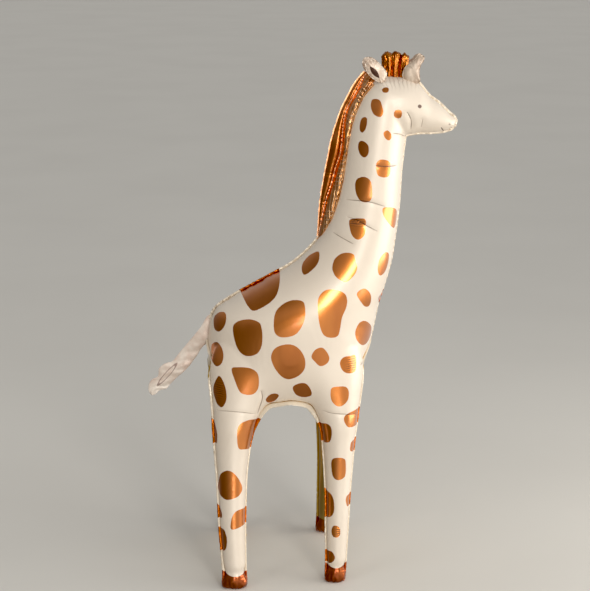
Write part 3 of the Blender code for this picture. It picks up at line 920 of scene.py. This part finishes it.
mane_rings[..., 1] += face * half + sway
mane = new_piece("mane_film", *skin(mane_rings))
# Each ends with two values for the middles of the end rings.
store(mane, "lobe_weld", np.r_[weld_gap.ravel() * 1000, 9, 9])
store(mane, "inner_lobe", np.r_[on_inner.ravel(), 0, 0])
store(mane, "along", np.r_[(mane_length + 0 * w).ravel() * 1000, 0, 0])
store(mane, "across", np.r_[across.ravel() * 1000, 0, 0])
print("mane", len(mane.data.vertices), "points")

# %% Rim beside the neck
# The free edges of the inner lobe, a narrow band on each side that lies beside the neck.
RIM_Y, RIM_WIDTH = 0.0215, 0.0034

rim_path = even_path(spline(np.array(INNER_EDGE, float) / 1000, 8), STEP)
rim_reach = np.clip(0.2 + 0.8 * (rim_path[:, 1] - 0.670) / 0.030, 0.2, 1.0) ** 0.7
rim_path = np.stack([rim_path[:, 0], -RIM_Y * rim_reach, rim_path[:, 1]], axis=1)
index, _ = nearest(rim_path, shape)
rim_normal = skin_direction(rim_path, 8)
gap = ((rim_path - shape[index]) * rim_normal).sum(axis=1, keepdims=True)
rim_path = calmed(rim_path - gap * rim_normal, 6)
rim_lean = unit(rim_normal + [-0.35, -0.5, 0.0])
mane_rim = new_piece("mane_rim", *joined([
    ribbon(rim_path * [1, side, 1], rim_lean * [1, side, 1], RIM_WIDTH, 70, root=0.0015, wave=0.0006)
    for side in (1, -1)]))
print("rim beside the neck", round(len(rim_path) * STEP, 3), "m")

# %% [markdown]
# ## The forelock
# Three upright flutes of copper film stand on the crown. Each is a tube that swells upwards and is
# welded shut at its top, so it is crushed lengthwise and its top edge is ragged. Small facets on a
# simple loft show that better than large folds.

# %% Forelock
# Root x, crest x, crest z, half width at the root and at the crest.
FLUTES = ((198, 198, 999, 9.5, 12), (211, 213, 1000, 9, 12), (223, 229, 996, 8, 11))
FLUTE_ROOT_Z = 945
FLUTE_HALF = 0.0102
FLUTE_ROWS, FLUTE_SIDES = 110, 96


def flute(number, root_x, crest_x, crest_z, root_half, crest_half):
    """One flute: ovals that rise as sin(pi t / 2), swell on the way and close at the top.

    The radius is multiplied by 1 + 0.15 facets, and the upper edge is ragged and lower at its ends.
    """
    t, turn = np.meshgrid(np.linspace(0, 1, FLUTE_ROWS),
                          np.arange(FLUTE_SIDES) * 2 * np.pi / FLUTE_SIDES, indexing="ij")
    rise = np.sin(t * np.pi / 2)
    swell = np.sqrt(np.maximum(1 - rise ** 12, 0.0)) * 0.9 + 0.1
    x = (root_x + (crest_x - root_x) * rise) * SHARE - MIDDLE_X
    z = (FLUTE_ROOT_Z + (crest_z - FLUTE_ROOT_Z) * rise) * SHARE
    reach = (root_half + (crest_half - root_half) * rise ** 2) * (0.55 + 0.45 * swell) * SHARE
    u, v = np.cos(turn) * 1.5, np.sin(turn) * 1.5
    facets = (crumple(u + 9 * number, v + t * 1.4, 50 + number, 6, 0.9, 2.0)
              + 0.35 * crumple(u * 2.2, v * 2 - t * 6, 60 + number, 5))
    bulge = 1 + 0.15 * facets
    ring_x = x + reach * np.cos(turn) * np.clip(bulge, 0.6, 1.15)
    ring_y = FLUTE_HALF * swell * np.sin(turn) * np.clip(bulge, 0.6, 1.08)
    ragged = 0.0014 * ripple(turn / 1.6 + number, 77) * rise ** 12
    ring_z = z + ragged - 0.005 * np.cos(turn) ** 2 * rise ** 4
    return skin(np.stack([ring_x, ring_y, np.minimum(ring_z, HEIGHT)], axis=2))


forelock = new_piece("forelock_film", *joined([flute(number, *row) for number, row in enumerate(FLUTES)]))
print("forelock", len(forelock.data.vertices), "points")

# %% [markdown]
# ## Ears, horns and tail
# These are flat pieces, two films welded round the rim with a breath of air between. A disc that is
# drawn out to the outline, ring by ring, gives an ear or a horn: its rings run from the middle to the
# rim, and the thickness falls to nothing where the flat band begins. The tail is too long for rings
# about one middle, so it is a strip between its two edges.

# %% Ears and horns
# Outlines as x, z in thousandths of the height.
EAR = ((194, 962), (186, 974), (177, 983), (168, 987), (159, 986), (154, 980), (154, 972), (159, 961),
       (168, 952), (178, 946), (190, 945))
HORN = ((224, 955), (227, 969), (236, 979), (245, 985), (252, 992), (260, 994), (265, 990), (263, 982),
        (258, 974), (256, 962), (257, 945), (244, 938), (230, 943))


def puffed_disc(outline, middle, y, half, band, seed, fold):
    """A thin pillow whose rim is the outline, in a plane of constant Y.

    At share r of the way from the middle to the rim the half thickness is half times
    (1 - (r / (1 - band))^2)^0.5, crushed by facets of fold times that, and the rim waves to and fro
    along Y. Gives the skin and r at each of its points.
    """
    loop = np.vstack([outline, outline[:1]]).astype(float)
    rim = even_path(spline(np.vstack([loop[-3:-1], loop, loop[1:3]]), 12)[24:-24], 0.9)[:-1] * SHARE
    rim[:, 0] -= MIDDLE_X
    heart = np.array([middle[0] * SHARE - MIDDLE_X, middle[1] * SHARE])
    r = np.sin(np.linspace(0, np.pi / 2, 22))[1:]
    around = np.linspace(0, 2 * np.pi, len(rim), endpoint=False)
    rings = heart + r[:, None, None] * (rim - heart)[None]
    puff = half * np.sqrt(np.clip(1 - (r / (1 - band)) ** 2, 0, 1))
    gather = 1 + 0.10 * ripple(around * 1.6, seed)[None] * r[:, None] ** 2
    sway = 0.0008 * ripple(around * 2.2, seed + 1)[None] * r[:, None] ** 3
    folded = 1 + fold * crumple(rings[..., 0] * 60, rings[..., 1] * 60, seed + 2, 6)
    thick = np.maximum(puff[:, None] * gather * folded, 0.0003)
    right_face, left_face = (np.stack([rings[..., 0], y + sway + side * thick, rings[..., 1]], axis=2)
                             for side in (-1, 1))
    rim_share = np.repeat(np.r_[r, r[::-1]], len(rim))
    return skin(np.concatenate([right_face, left_face[::-1]])), np.r_[rim_share, 0, 0]


# Name, outline, middle, then y, half thickness and share of the flat band, seed and folds.
LITTLE_PIECES = (("ear", EAR, (173, 967), 0.028, 0.0042, 0.12, 80, 0.10),
                 ("horn", HORN, (246, 966), 0.015, 0.0056, 0.12, 85, 0.14))
little = {}
for name, side in (("right", -1), ("left", 1)):
    for part, outline, middle, y, half, band, seed, fold in LITTLE_PIECES:
        body, rim_share = puffed_disc(outline, middle, side * y, half, band, seed, fold)
        little[f"{part}_{name}"] = new_piece(f"{part}_{name}_film", *body)
        store(little[f"{part}_{name}"], "rim", rim_share)
print("ears and horns", {name: len(obj.data.vertices) for name, obj in little.items()})

# %% Tail
# Upper and lower edge as x, z in mm.
TAIL_TOP = ((-150, 482), (-166, 504), (-179, 509), (-195, 485), (-215, 460), (-235, 436), (-250, 418),
            (-259, 415), (-269, 411), (-277, 403), (-278, 394), (-280, 386), (-290, 381), (-297, 372),
            (-299, 361), (-296, 352), (-292, 349))
TAIL_BOTTOM = ((-150, 470), (-172, 458), (-190, 447), (-204, 425), (-224, 400), (-244, 382), (-256, 369),
               (-263, 361), (-271, 359), (-278, 357), (-285, 350), (-291, 348))


TAIL_HALF = 0.0021
TAIL_ROWS, TAIL_SIDES = 150, 48


def in_steps(line, steps):
    """That many points of a spline through x, z in mm, evenly spaced from its start."""
    path = spline(np.array(line, float) / 1000, 12)
    return even_path(path, np.linalg.norm(np.diff(path, axis=0), axis=1).sum() / steps)[:steps]


def tail_strip(top, bottom):
    """A strip between two edges: sections straight across, as thin pillows with flat margins.

    Round a section, by the angle a, the share of the width is q = (1 - cos a) / 2 and the half
    thickness is TAIL_HALF |sin a|^1.3. The strip sways a little along Y.
    """
    upper, lower = in_steps(top, TAIL_ROWS), in_steps(bottom, TAIL_ROWS)
    turn = np.arange(TAIL_SIDES) * 2 * np.pi / TAIL_SIDES
    q = (1 - np.cos(turn)) / 2
    flat = upper[:, None] + (lower - upper)[:, None] * q[None, :, None]
    along = np.linspace(0, 1, TAIL_ROWS)[:, None]
    level = TAIL_HALF * np.abs(np.sin(turn)) ** 1.3 * np.sign(np.sin(turn))
    sway = 0.0011 * ripple(along * 2.2 + q * 0.3, 90) + 0.0004 * ripple(along * 6 + q * 1.5, 91)
    y = level[None] * (1 + 0.18 * ripple(along * 3 + q * 1.8, 92)) + sway
    return skin(np.stack([flat[..., 0], y, flat[..., 1]], axis=2))


tail = new_piece("tail_film", *tail_strip(TAIL_TOP, TAIL_BOTTOM))
print("tail", len(tail.data.vertices), "points")

# %% [markdown]
# ## Films as materials
# All of it is printed plastic film with a metal layer behind. The cream is a pearl ink that hides most
# of the metal: a little metallic, and satin. The copper and the gold are clear tints over bare metal,
# so they are fully metallic under a clear coat, and mirror the room softly. The print's edges come from
# the distances on the vertices. The arithmetic is written as Python: a small class wraps a socket, and
# + - * on it add the Math nodes.

# %% Shader arithmetic
class Value:
    """A number that varies over a surface: one output socket of a node tree."""

    def __init__(self, film, socket):
        self.film, self.socket = film, socket

    def math(self, operation, *others):
        return self.film.node("ShaderNodeMath", {"operation": operation}, [self, *others])

    def __add__(self, other):
        return self.math("ADD", other)

    def __sub__(self, other):
        return self.math("SUBTRACT", other)

    def __mul__(self, other):
        return self.math("MULTIPLY", other)

    def __rsub__(self, other):
        return self.film.node("ShaderNodeMath", {"operation": "SUBTRACT"}, [other, self])

    def __neg__(self):
        return self.math("MULTIPLY", -1.0)

    __radd__, __rmul__ = __add__, __mul__

    def smooth(self, low, high):
        """0 below low, 1 above high, and a smooth step between them."""
        return self.film.node("ShaderNodeMapRange", {"interpolation_type": "SMOOTHSTEP"},
                              {"Value": self, "From Min": low, "From Max": high})

    def bell(self, width):
        """exp(-(value / width)^2)."""
        scaled = self * (1.0 / width)
        return (-(scaled * scaled)).math("EXPONENT")

    def ridges(self, power):
        """Thin lines where the sine of the value is high: (1/2 + sin(value) / 2)^power."""
        return (self.math("SINE") * 0.5 + 0.5).math("POWER", power)


class Tree:
    """The nodes of a material or of the sky."""

    def __init__(self, owner):
        owner.use_nodes = True
        self.owner = owner
        self.nodes, self.links = owner.node_tree.nodes, owner.node_tree.links

    def plug(self, socket, value):
        """Links a Value to a socket, or sets a constant on it. A colour gets its alpha of 1."""
        if isinstance(value, Value):
            self.links.new(value.socket, socket)
        elif isinstance(value, tuple):
            socket.default_value = (*value, 1.0)[:len(socket.default_value)]
        else:
            socket.default_value = value

    def node(self, kind, settings=None, values=(), output=0):
        """Adds a node: its settings first, then its sockets by place or by name, and wraps an output."""
        made = self.nodes.new(kind)
        for field, value in (settings or {}).items():
            setattr(made, field, value)
        for key, value in values.items() if isinstance(values, dict) else enumerate(values):
            self.plug(made.inputs[key], value)
        return Value(self, made.outputs[output])

    def parts(self, vector):
        """The x, y and z of a vector."""
        first = self.node("ShaderNodeSeparateXYZ", None, [vector])
        return tuple(Value(self, socket) for socket in first.socket.node.outputs)


class Film(Tree):
    """A material with one Principled shader."""

    def __init__(self, name):
        super().__init__(bpy.data.materials.new(name))
        self.shader = self.nodes["Principled BSDF"]

    def stored(self, name):
        """A number kept on the vertices."""
        return self.node("ShaderNodeAttribute", {"attribute_name": name}, (), "Fac")

    def place(self):
        """The point on the surface, in metres in the row frame."""
        return self.node("ShaderNodeTexCoord", None, (), "Object")

    def turned_place(self, centre, tilt):
        """The point in the side view, in mm from a centre, along and across a line at that tilt."""
        px, _, pz = self.parts(self.place())
        along, across = float(1000 * np.cos(tilt)), float(1000 * np.sin(tilt))
        dx, dz = px - centre[0], pz - centre[1]
        return dx * along + dz * across, dz * along - dx * across

    def noise(self, scale, detail=2.0, stretch=(1.0, 1.0, 1.0)):
        """Soft random clouds between 0 and 1, scale of them to a metre, finer along a bigger stretch."""
        where = self.node("ShaderNodeMapping", None, {"Vector": self.place(), "Scale": stretch})
        return self.node("ShaderNodeTexNoise", None, {"Vector": where, "Scale": scale, "Detail": detail})

    def patches(self, scale, low, high, detail=2.0, stretch=(1.0, 1.0, 1.0)):
        """The same clouds with a smooth step from low to high, which makes patches of 0 and 1."""
        return self.noise(scale, detail, stretch).smooth(low, high)

    def blend(self, mask, low, high):
        """Colour low where the mask is 0, high where it is 1. A Mix node's colours are inputs 6 and 7."""
        return self.node("ShaderNodeMix", {"data_type": "RGBA"}, {0: mask, 6: low, 7: high}, 2)

    def bump(self, height, distance):
        """Turns a height in units of distance metres into a normal."""
        return self.node("ShaderNodeBump", None, {"Height": height, "Distance": distance, "Strength": 1.0})

    def finish(self, **sockets):
        """Plugs the named inputs of the shader and gives the material back."""
        for name, value in sockets.items():
            self.plug(self.shader.inputs[name.replace("_", " ")], value)
        return self.owner


# %% Tints
# CREAM_FOLD_SHADE is painted shade for creases, welds and gathers. BROWN is printed ink, and on the copper
# also that painted shade.
CREAM, CREAM_SHADE, CREAM_FOLD_SHADE = (0.845, 0.730, 0.600), (0.790, 0.665, 0.530), (0.300, 0.210, 0.140)
COPPER, COPPER_DEEP = (0.800, 0.248, 0.031), (0.580, 0.146, 0.014)
GOLD = (0.800, 0.500, 0.110)
HOOF, HOOF_LIGHT = (0.450, 0.100, 0.028), (0.540, 0.145, 0.034)
BROWN, INK = (0.075, 0.030, 0.014), (0.200, 0.130, 0.100)
BAND_CREAM = (0.840, 0.720, 0.560)
MANE_LIGHT, MANE_DEEP = (0.800, 0.290, 0.080), (0.620, 0.180, 0.035)
LOBE_LIGHT, LOBE_DEEP = (0.930, 0.480, 0.200), (0.780, 0.320, 0.100)
# The wrinkle, weld and edge tints of the mane are painted highlights on its ridges, lobe weld and flat
# outer band.
WRINKLE_GLINT, MANE_WELD_GLINT, MANE_EDGE_GLINT = (0.980, 0.700, 0.460), (0.930, 0.640, 0.440), (0.900, 0.560, 0.350)
RIM_LIGHT, RIM_DEEP = (0.80, 0.48, 0.24), (0.52, 0.21, 0.06)
TUFT_LIGHT, TUFT_DEEP = (0.640, 0.220, 0.035), (0.400, 0.105, 0.010)
EAR_LIGHT, EAR_SHADE = (0.860, 0.710, 0.570), (0.680, 0.500, 0.370)
HORN_LIGHT, HORN_SHADE = (0.630, 0.505, 0.390), (0.540, 0.400, 0.295)
TAIL_LIGHT, TAIL_SHADE, TAIL_LINE = (0.860, 0.750, 0.640), (0.680, 0.510, 0.410), (0.200, 0.105, 0.085)
print("cream", CREAM, "copper", COPPER, "gold", GOLD)

# %% [markdown]
# ### The printed panels
# One material covers the envelope. Masks choose between pearl cream, copper, gold and the hooves, and
# the same masks set how metallic and how rough each place is. Fine gathers beside the welds and the
# sharp bottoms of the creases are too small for the mesh, so they go into the bump. They, the pleats and
# the film just beside the welds are also painted darker in the colour as shade.

# %% Masks and ink of the envelope
# Ends and width in mm of the printed strokes. The eye and the nostril are so short that they are dots.
EYE_INK = ((0.2235, 0.9200), (0.2245, 0.9195), 6.6)
NOSTRIL_INK = ((0.2840, 0.8830), (0.2850, 0.8827), 3.2)
MOUTH_INK = ((0.2685, 0.8765), (0.2765, 0.8665), 1.7)

panel = Film("printed_panel")
spot = 1 - panel.stored("spot").smooth(-0.35, 0.35)
gold = 1 - panel.stored("gusset").smooth(-0.6, 0.6)
hoof = 1 - panel.stored("hoof").smooth(-0.5, 0.5)


def mark(film, start, end, width):
    """A printed stroke on both sides: distance in mm to a segment in the side view, cut at half width."""
    px, _, pz = film.parts(film.place())
    ax, az, bx, bz = *start, *end
    length = (bx - ax) ** 2 + (bz - az) ** 2
    share = (px - ax) * ((bx - ax) / length) + (pz - az) * ((bz - az) / length)
    share = share.math("MAXIMUM", 0.0).math("MINIMUM", 1.0)
    dx, dz = (px - ax - share * (bx - ax)) * 1000, (pz - az - share * (bz - az)) * 1000
    return 1 - (dx * dx + dz * dz).math("SQRT").smooth(width / 2 - 0.35, width / 2 + 0.35)


ink = mark(panel, *EYE_INK).math("MAXIMUM", mark(panel, *NOSTRIL_INK) * 0.6) * (1 - gold)
mouth = mark(panel, *MOUTH_INK)
print("masks: spot, gold, hoof, ink and mouth")

# %% Colour of the envelope
copper_patches = panel.patches(26.0, 0.3, 0.75, 2.0, (1.0, 1.0, 0.35))
colour = panel.blend(panel.patches(9.0, 0.35, 0.7, 3.0) * 0.35, CREAM, CREAM_SHADE)
colour = panel.blend(spot, colour, panel.blend(copper_patches * 0.5, COPPER, COPPER_DEEP))
colour = panel.blend(gold, colour, GOLD)
colour = panel.blend(hoof, colour, panel.blend(copper_patches, HOOF, HOOF_LIGHT))
colour = panel.blend(ink, colour, INK)
colour = panel.blend(mouth * 0.9, colour, BROWN)
print("colour nodes", len(panel.nodes))

# %% Fine lines of the envelope
# Pleats on a spot are level lines, and those on the crown fan out upwards from the middle of the crown.
PLEAT_MM, FAN_MM, FAN_SPREAD, CROWN_FOOT = 4.2, 7.5, 6, 0.95

crease_line = panel.stored("crease").bell(0.8) * panel.stored("crease_weight")
# Painted shade: a darker strip on the film just beside each weld.
painted_weld_light_and_shade = panel.stored("weld_gap").bell(1.5) * 0.45
along_x, _, level = panel.parts(panel.place())
fan_x = along_x + (along_x - CROWN_X / 1000) * (CROWN_FOOT - level) * FAN_SPREAD
fan = (fan_x * (2000 * np.pi / FAN_MM) + panel.noise(70.0, 1.0) * 6.0).ridges(4.0)
fan = fan * panel.stored("crown_pleats")
pleat = (level * (2000 * np.pi / PLEAT_MM) + panel.noise(90.0, 1.0) * 5.0).ridges(5.0)
pleat = pleat * panel.stored("pleats")
weld_near = panel.stored("weld_near")
tiny = (panel.stored("weld_place") * 1.15 + panel.noise(60.0, 1.0) * 3.0).math("SINE")
gather_line = tiny.smooth(0.55, 1.0) * (weld_near * 1.3 - 0.12).smooth(0.0, 0.9)
# Painted shade: creases, the film beside the welds, the gathers and the pleats are darkened in the colour.
painted_fold_shade = crease_line * 0.8
for line in (painted_weld_light_and_shade, fan * 0.35, gather_line * 0.65, pleat * spot * 0.8):
    painted_fold_shade = painted_fold_shade.math("MAXIMUM", line)
colour = panel.blend(painted_fold_shade, colour, panel.blend(spot, CREAM_FOLD_SHADE, BROWN))
height = (tiny * weld_near * -0.45 - crease_line * 1.2 - pleat * 0.5 - fan * 0.5
          + panel.noise(55.0, 2.0) * 0.10 + panel.noise(14.0, 1.0) * 0.5)
print("with fine lines", len(panel.nodes))

# %% Envelope film
metal = (spot.math("MAXIMUM", gold).math("MAXIMUM", hoof)) * (1 - ink)
panel_film = panel.finish(
    Base_Color=colour, Metallic=0.16 + metal * 0.84, Roughness=0.44 - metal * 0.16 + ink * 0.1,
    Coat_Weight=0.14 + metal * 0.82 - hoof * 0.66, Coat_IOR=1.7, Coat_Roughness=0.18,
    Normal=panel.bump(height, 0.001))
print("panel nodes", len(panel.nodes))

# %% Flange film
# The band carries the print of the panel beside it, and short dark ticks of painted shade where the film is
# gathered.
band = Film("weld_band")
spot = 1 - band.stored("spot").smooth(-0.35, 0.35)
hoof = 1 - band.stored("hoof").smooth(-0.5, 0.5)
gold = band.stored("inner_face").smooth(-0.1, 0.1)
gather_fold_shade = band.patches(210.0, 0.50, 0.62) * band.stored("gathered").smooth(0.30, 1.10)
colour = band.blend(gather_fold_shade * 0.7, BAND_CREAM, CREAM_FOLD_SHADE)
colour = band.blend(spot, colour, COPPER_DEEP)
colour = band.blend(hoof, colour, HOOF)
colour = band.blend(gold * (1 - hoof), colour, GOLD)
metal = spot.math("MAXIMUM", hoof).math("MAXIMUM", gold)
band_film = band.finish(Base_Color=colour, Metallic=0.25 + metal * 0.75, Roughness=0.36 - metal * 0.08,
                        Normal=band.bump(band.noise(260.0), 0.0007), Coat_Weight=0.25,
                        Coat_Roughness=0.12)
print("band nodes", len(band.nodes))

# %% [markdown]
# ### Copper, pearl and the small pieces
# The mane, its rim and the forelock share the copper tint, and each keeps its own grain of wrinkles.
# The ears carry a dark leaf print, and the tail a thin brown line that loops near its tassel.

# %% Mane film
# Fine wrinkles run along the inner lobe and, in patches, across it, this many mm apart. Their ridges, the
# weld between the lobes and the flat band along the outer edge are painted lighter as highlights.
ALONG_MM, ACROSS_MM = 4.6, 8.5

fin = Film("mane_copper")
inner = fin.stored("inner_lobe")
streak = fin.patches(50.0, 0.3, 0.7, 2.0, (1.0, 1.0, 0.25))
wander = fin.noise(45.0) * 9.0
rows_line = (fin.stored("across") * (2 * np.pi / ALONG_MM) + wander).ridges(7.0)
cross_line = (fin.stored("along") * (2 * np.pi / ACROSS_MM) + wander * 0.7).ridges(9.0)
wrinkle = rows_line.math("MAXIMUM", cross_line * fin.patches(30.0, 0.42, 0.58, 1.0)) * inner
# Painted highlight: a light line along the weld between the lobes, and another along the outer edge.
painted_weld_light_and_shade = 1 - fin.stored("lobe_weld").smooth(0.5, 1.3)
edge_glint = 1 - fin.stored("across").smooth(1.2, 2.4)
colour = fin.blend(streak, MANE_LIGHT, MANE_DEEP)
colour = fin.blend(inner * 0.75, colour, fin.blend(streak, LOBE_LIGHT, LOBE_DEEP))
for mask, tint in ((wrinkle * 0.75, WRINKLE_GLINT), (painted_weld_light_and_shade * 0.85, MANE_WELD_GLINT), (edge_glint * 0.6, MANE_EDGE_GLINT)):
    colour = fin.blend(mask, colour, tint)
mane_film = fin.finish(Base_Color=colour, Metallic=1.0, Roughness=0.27 + inner * 0.03, Coat_Weight=0.4,
                       Coat_Roughness=0.15, Normal=fin.bump(wrinkle * 0.5 + fin.noise(60.0) * 0.16, 0.001))
print("mane nodes", len(fin.nodes))

# %% Rim and forelock films
rim = Film("mane_rim_copper")
rim_film = rim.finish(Base_Color=rim.blend(rim.patches(90.0, 0.35, 0.65), RIM_LIGHT, RIM_DEEP),
                      Metallic=1.0, Roughness=0.28, Normal=rim.bump(rim.noise(400.0), 0.0008))

tuft = Film("forelock_copper")
streak = tuft.patches(90.0, 0.3, 0.7, 3.0, (1.0, 1.0, 0.4))
tuft_film = tuft.finish(Base_Color=tuft.blend(streak, TUFT_LIGHT, TUFT_DEEP), Metallic=1.0,
                        Roughness=0.25, Coat_Weight=0.4, Coat_Roughness=0.15,
                        Normal=tuft.bump(tuft.noise(160.0, 2.0, (1.0, 1.0, 0.30)), 0.0009))
print("rim and forelock nodes", len(rim.nodes), len(tuft.nodes))

# %% Ear, horn and tail films
# The ear's dark leaf: its middle, its tilt, half its width and the radius of curvature of its sides in
# mm. The tail's loop: its middle, tilt and half axes.
LEAF, LEAF_TILT, LEAF_HALF, LEAF_RADIUS = (0.1385, 0.9835), np.radians(-50), 4.9, 43
LOOP, LOOP_TILT, LOOP_LONG, LOOP_SHORT = (-0.2615, 0.3905), np.radians(49), 27.0, 4.4

leaf = Film("ear_pearl")
along, across = leaf.turned_place(LEAF, LEAF_TILT)
leaf_print = 1 - (across.math("ABSOLUTE") + along * along * (1 / LEAF_RADIUS) - LEAF_HALF).smooth(-0.4, 0.4)
# Painted shade: short dark ticks near the rim, where the film gathers.
rim_fold_shade = leaf.stored("rim").smooth(0.80, 0.95) * leaf.patches(260.0, 0.45, 0.6)
colour = leaf.blend(leaf.patches(80.0, 0.35, 0.65), EAR_LIGHT, EAR_SHADE)
colour = leaf.blend(rim_fold_shade * 0.55, colour, CREAM_FOLD_SHADE)
ear_film = leaf.finish(Base_Color=leaf.blend(leaf_print, colour, BROWN),
                       Metallic=0.20 + leaf_print * 0.3, Roughness=0.38, Coat_Weight=0.3,
                       Coat_Roughness=0.12, Normal=leaf.bump(leaf.noise(110.0), 0.0005))

knob = Film("horn_pearl")
# Painted shade: short dark ticks near the rim, where the film gathers.
rim_fold_shade = knob.stored("rim").smooth(0.78, 0.95) * knob.patches(240.0, 0.42, 0.58)
colour = knob.blend(knob.patches(60.0, 0.35, 0.65), HORN_LIGHT, HORN_SHADE)
horn_film = knob.finish(Base_Color=knob.blend(rim_fold_shade * 0.65, colour, CREAM_FOLD_SHADE), Metallic=0.20,
                        Roughness=0.40, Coat_Weight=0.25, Coat_Roughness=0.15,
                        Normal=knob.bump(knob.noise(90.0), 0.0006))

strip = Film("tail_pearl")
along, across = strip.turned_place(LOOP, LOOP_TILT)
oval = (along * along * (1 / LOOP_LONG ** 2) + across * across * (1 / LOOP_SHORT ** 2)).math("SQRT")
loop = 1 - ((oval - 1.0).math("ABSOLUTE") * LOOP_SHORT).smooth(0.35, 0.95)
colour = strip.blend(strip.patches(40.0, 0.3, 0.7, 3.0), TAIL_LIGHT, TAIL_SHADE)
tail_film = strip.finish(Base_Color=strip.blend(loop * 0.7, colour, TAIL_LINE), Metallic=0.20,
                         Roughness=0.38, Coat_Weight=0.3, Coat_Roughness=0.12,
                         Normal=strip.bump(strip.noise(50.0), 0.0009))
print("ear, horn and tail nodes", len(leaf.nodes), len(knob.nodes), len(strip.nodes))

# %% Dressing
# Each piece, the node of the CAD that it stands in for, its film and the name of its film slot.
DRESSED = (
    (envelope, "body", panel_film, "cream_foil"),
    (flange, None, band_film, "cream_foil"),
    (mane, "mane", mane_film, "copper_foil"),
    (mane_rim, None, rim_film, "copper_foil"),
    (forelock, "forelock", tuft_film, "forelock_foil"),
    (tail, "tail", tail_film, "tail_foil"),
    (little["ear_right"], "ear_right", ear_film, "ear_foil"),
    (little["ear_left"], "ear_left", ear_film, "ear_foil"),
    (little["horn_right"], "horn_right", horn_film, "horn_foil"),
    (little["horn_left"], "horn_left", horn_film, "horn_foil"),
)
for obj, node, film, film_slot in DRESSED:
    obj.data.materials.append(film)
    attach(obj, "root")
    if node:
        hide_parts(node)

# %% [markdown]
# ## The studio
# Metal film shows the room, so what it mirrors matters as much as the tints. The brightest bands on the
# copper mirror a tall window behind the camera, a little to the right, and a low one under it. A soft
# lamp stands on the right, a fill on the left brightens the cream alone, and a wide high sun lights
# everything evenly. The sky is dim on the left and bright on the right, so each spot darkens to the
# left. The floor is one large pale sheet that fills the picture. The film doesn't mirror it: it mirrors
# the sky below the horizon, where a low band of light stands in for a floor that is bright far off and
# dark near the feet.

# %% Floor
FLOOR_HALF = 40
FLOOR_LIGHT, FLOOR_DARK = (0.690, 0.656, 0.598), (0.668, 0.634, 0.577)

corners = np.array([[-1, -1, 0], [1, -1, 0], [1, 1, 0], [-1, 1, 0]], float) * FLOOR_HALF
floor = new_piece("floor", corners, np.array([[0, 1, 2, 3]]))
ground = Film("pale_floor")
floor.data.materials.append(ground.finish(
    Base_Color=ground.blend(ground.patches(1.6, 0.3, 0.75, 4.0), FLOOR_LIGHT, FLOOR_DARK), Roughness=0.85))
floor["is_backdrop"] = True
floor.visible_glossy = False
print("floor", 2 * FLOOR_HALF, "m wide")

# %% Lamps
WARM_WHITE, WARMER_WHITE, SUN_WHITE = (1.0, 0.98, 0.95), (1.0, 0.97, 0.92), (1.0, 0.985, 0.96)
SUN_STRENGTH, SUN_WIDTH, SUN_TURN = 1.0, np.radians(60), (np.radians(28), np.radians(22), 0.0)
# Name, place, aim, width, height, watts, tint, seen in the film, lights the surfaces.
LAMPS = (
    ("window_front", (1.15, -3.90, 1.75), (0.05, 0.0, 0.60), 0.80, 1.9, 50.0, WARM_WHITE, True, True),
    ("window_low", (0.60, -4.00, 0.42), (0.05, 0.0, 0.45), 1.40, 0.7, 11.0, WARM_WHITE, True, False),
    ("window_right", (1.75, -0.30, 0.60), (0.10, 0.0, 0.62), 1.3, 1.1, 18.0, WARMER_WHITE, True, True),
    ("fill_left", (-2.40, -1.90, 1.50), (-0.10, 0.0, 0.55), 1.2, 1.2, 13.0, WARM_WHITE, False, True),
)


def hung(name, light, mirrored, lighting):
    """A lamp in the scene that the film mirrors or not, and that lights the surfaces or not."""
    lamp = bpy.data.objects.new(name, light)
    lamp.visible_glossy, lamp.visible_diffuse = mirrored, lighting
    bpy.context.scene.collection.objects.link(lamp)
    return lamp


for name, place, aim, width, tall, watts, tint, mirrored_in_film, lighting in LAMPS:
    light = bpy.data.lights.new(name, "AREA")
    light.shape, light.size, light.size_y = "RECTANGLE", width, tall
    light.energy, light.color = watts, tint
    back = unit(np.array(place) - np.array(aim))
    across = unit(np.cross([0.0, 0.0, 1.0], back))
    stand(hung(name, light, mirrored_in_film, lighting), across, np.cross(back, across), back, place)
sun = bpy.data.lights.new("high_sun", "SUN")
sun.energy, sun.angle, sun.color = SUN_STRENGTH, SUN_WIDTH, SUN_WHITE
hung("high_sun", sun, False, True).rotation_euler = SUN_TURN
print("lamps", len(LAMPS), "and a sun")

# %% Sky and exposure
SKY_TINT = (0.95, 0.98, 1.0)
SKY_DIM, SKY_TO_RIGHT = 0.11, 0.40
HIGH_BAND, HIGH_WIDTH, HIGH_GLOW = 0.42, 0.30, 0.26
LOW_BAND, LOW_WIDTH, LOW_GLOW, LOW_LEFT = -0.24, 0.22, 0.50, 0.06
EXPOSURE, BLACK_LEVEL = -0.20, (0.016, 0.019, 0.018)

sky = Tree(bpy.data.worlds.new("studio_sky"))
sideways, _, rise = sky.parts(sky.node("ShaderNodeTexCoord", None, (), "Generated"))
low_glow = (rise - LOW_BAND).bell(LOW_WIDTH) * (sideways.smooth(-0.7, 0.15) * LOW_GLOW + LOW_LEFT)
high_glow = (rise - HIGH_BAND).bell(HIGH_WIDTH) * HIGH_GLOW
glow = (sideways * 0.5 + 0.5) * SKY_TO_RIGHT + SKY_DIM + high_glow + low_glow
sky.plug(sky.nodes["Background"].inputs["Color"], SKY_TINT)
sky.plug(sky.nodes["Background"].inputs["Strength"], glow)
bpy.context.scene.world = sky.owner
view = bpy.context.scene.view_settings
view.view_transform, view.exposure = "Standard", EXPOSURE
view.use_curve_mapping = True
view.curve_mapping.black_level = BLACK_LEVEL
view.curve_mapping.update()
print("exposure", EXPOSURE)

# %% Sizes and the end
low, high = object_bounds()
print("visual box", [round(v, 4) for v in (*low, *high)])
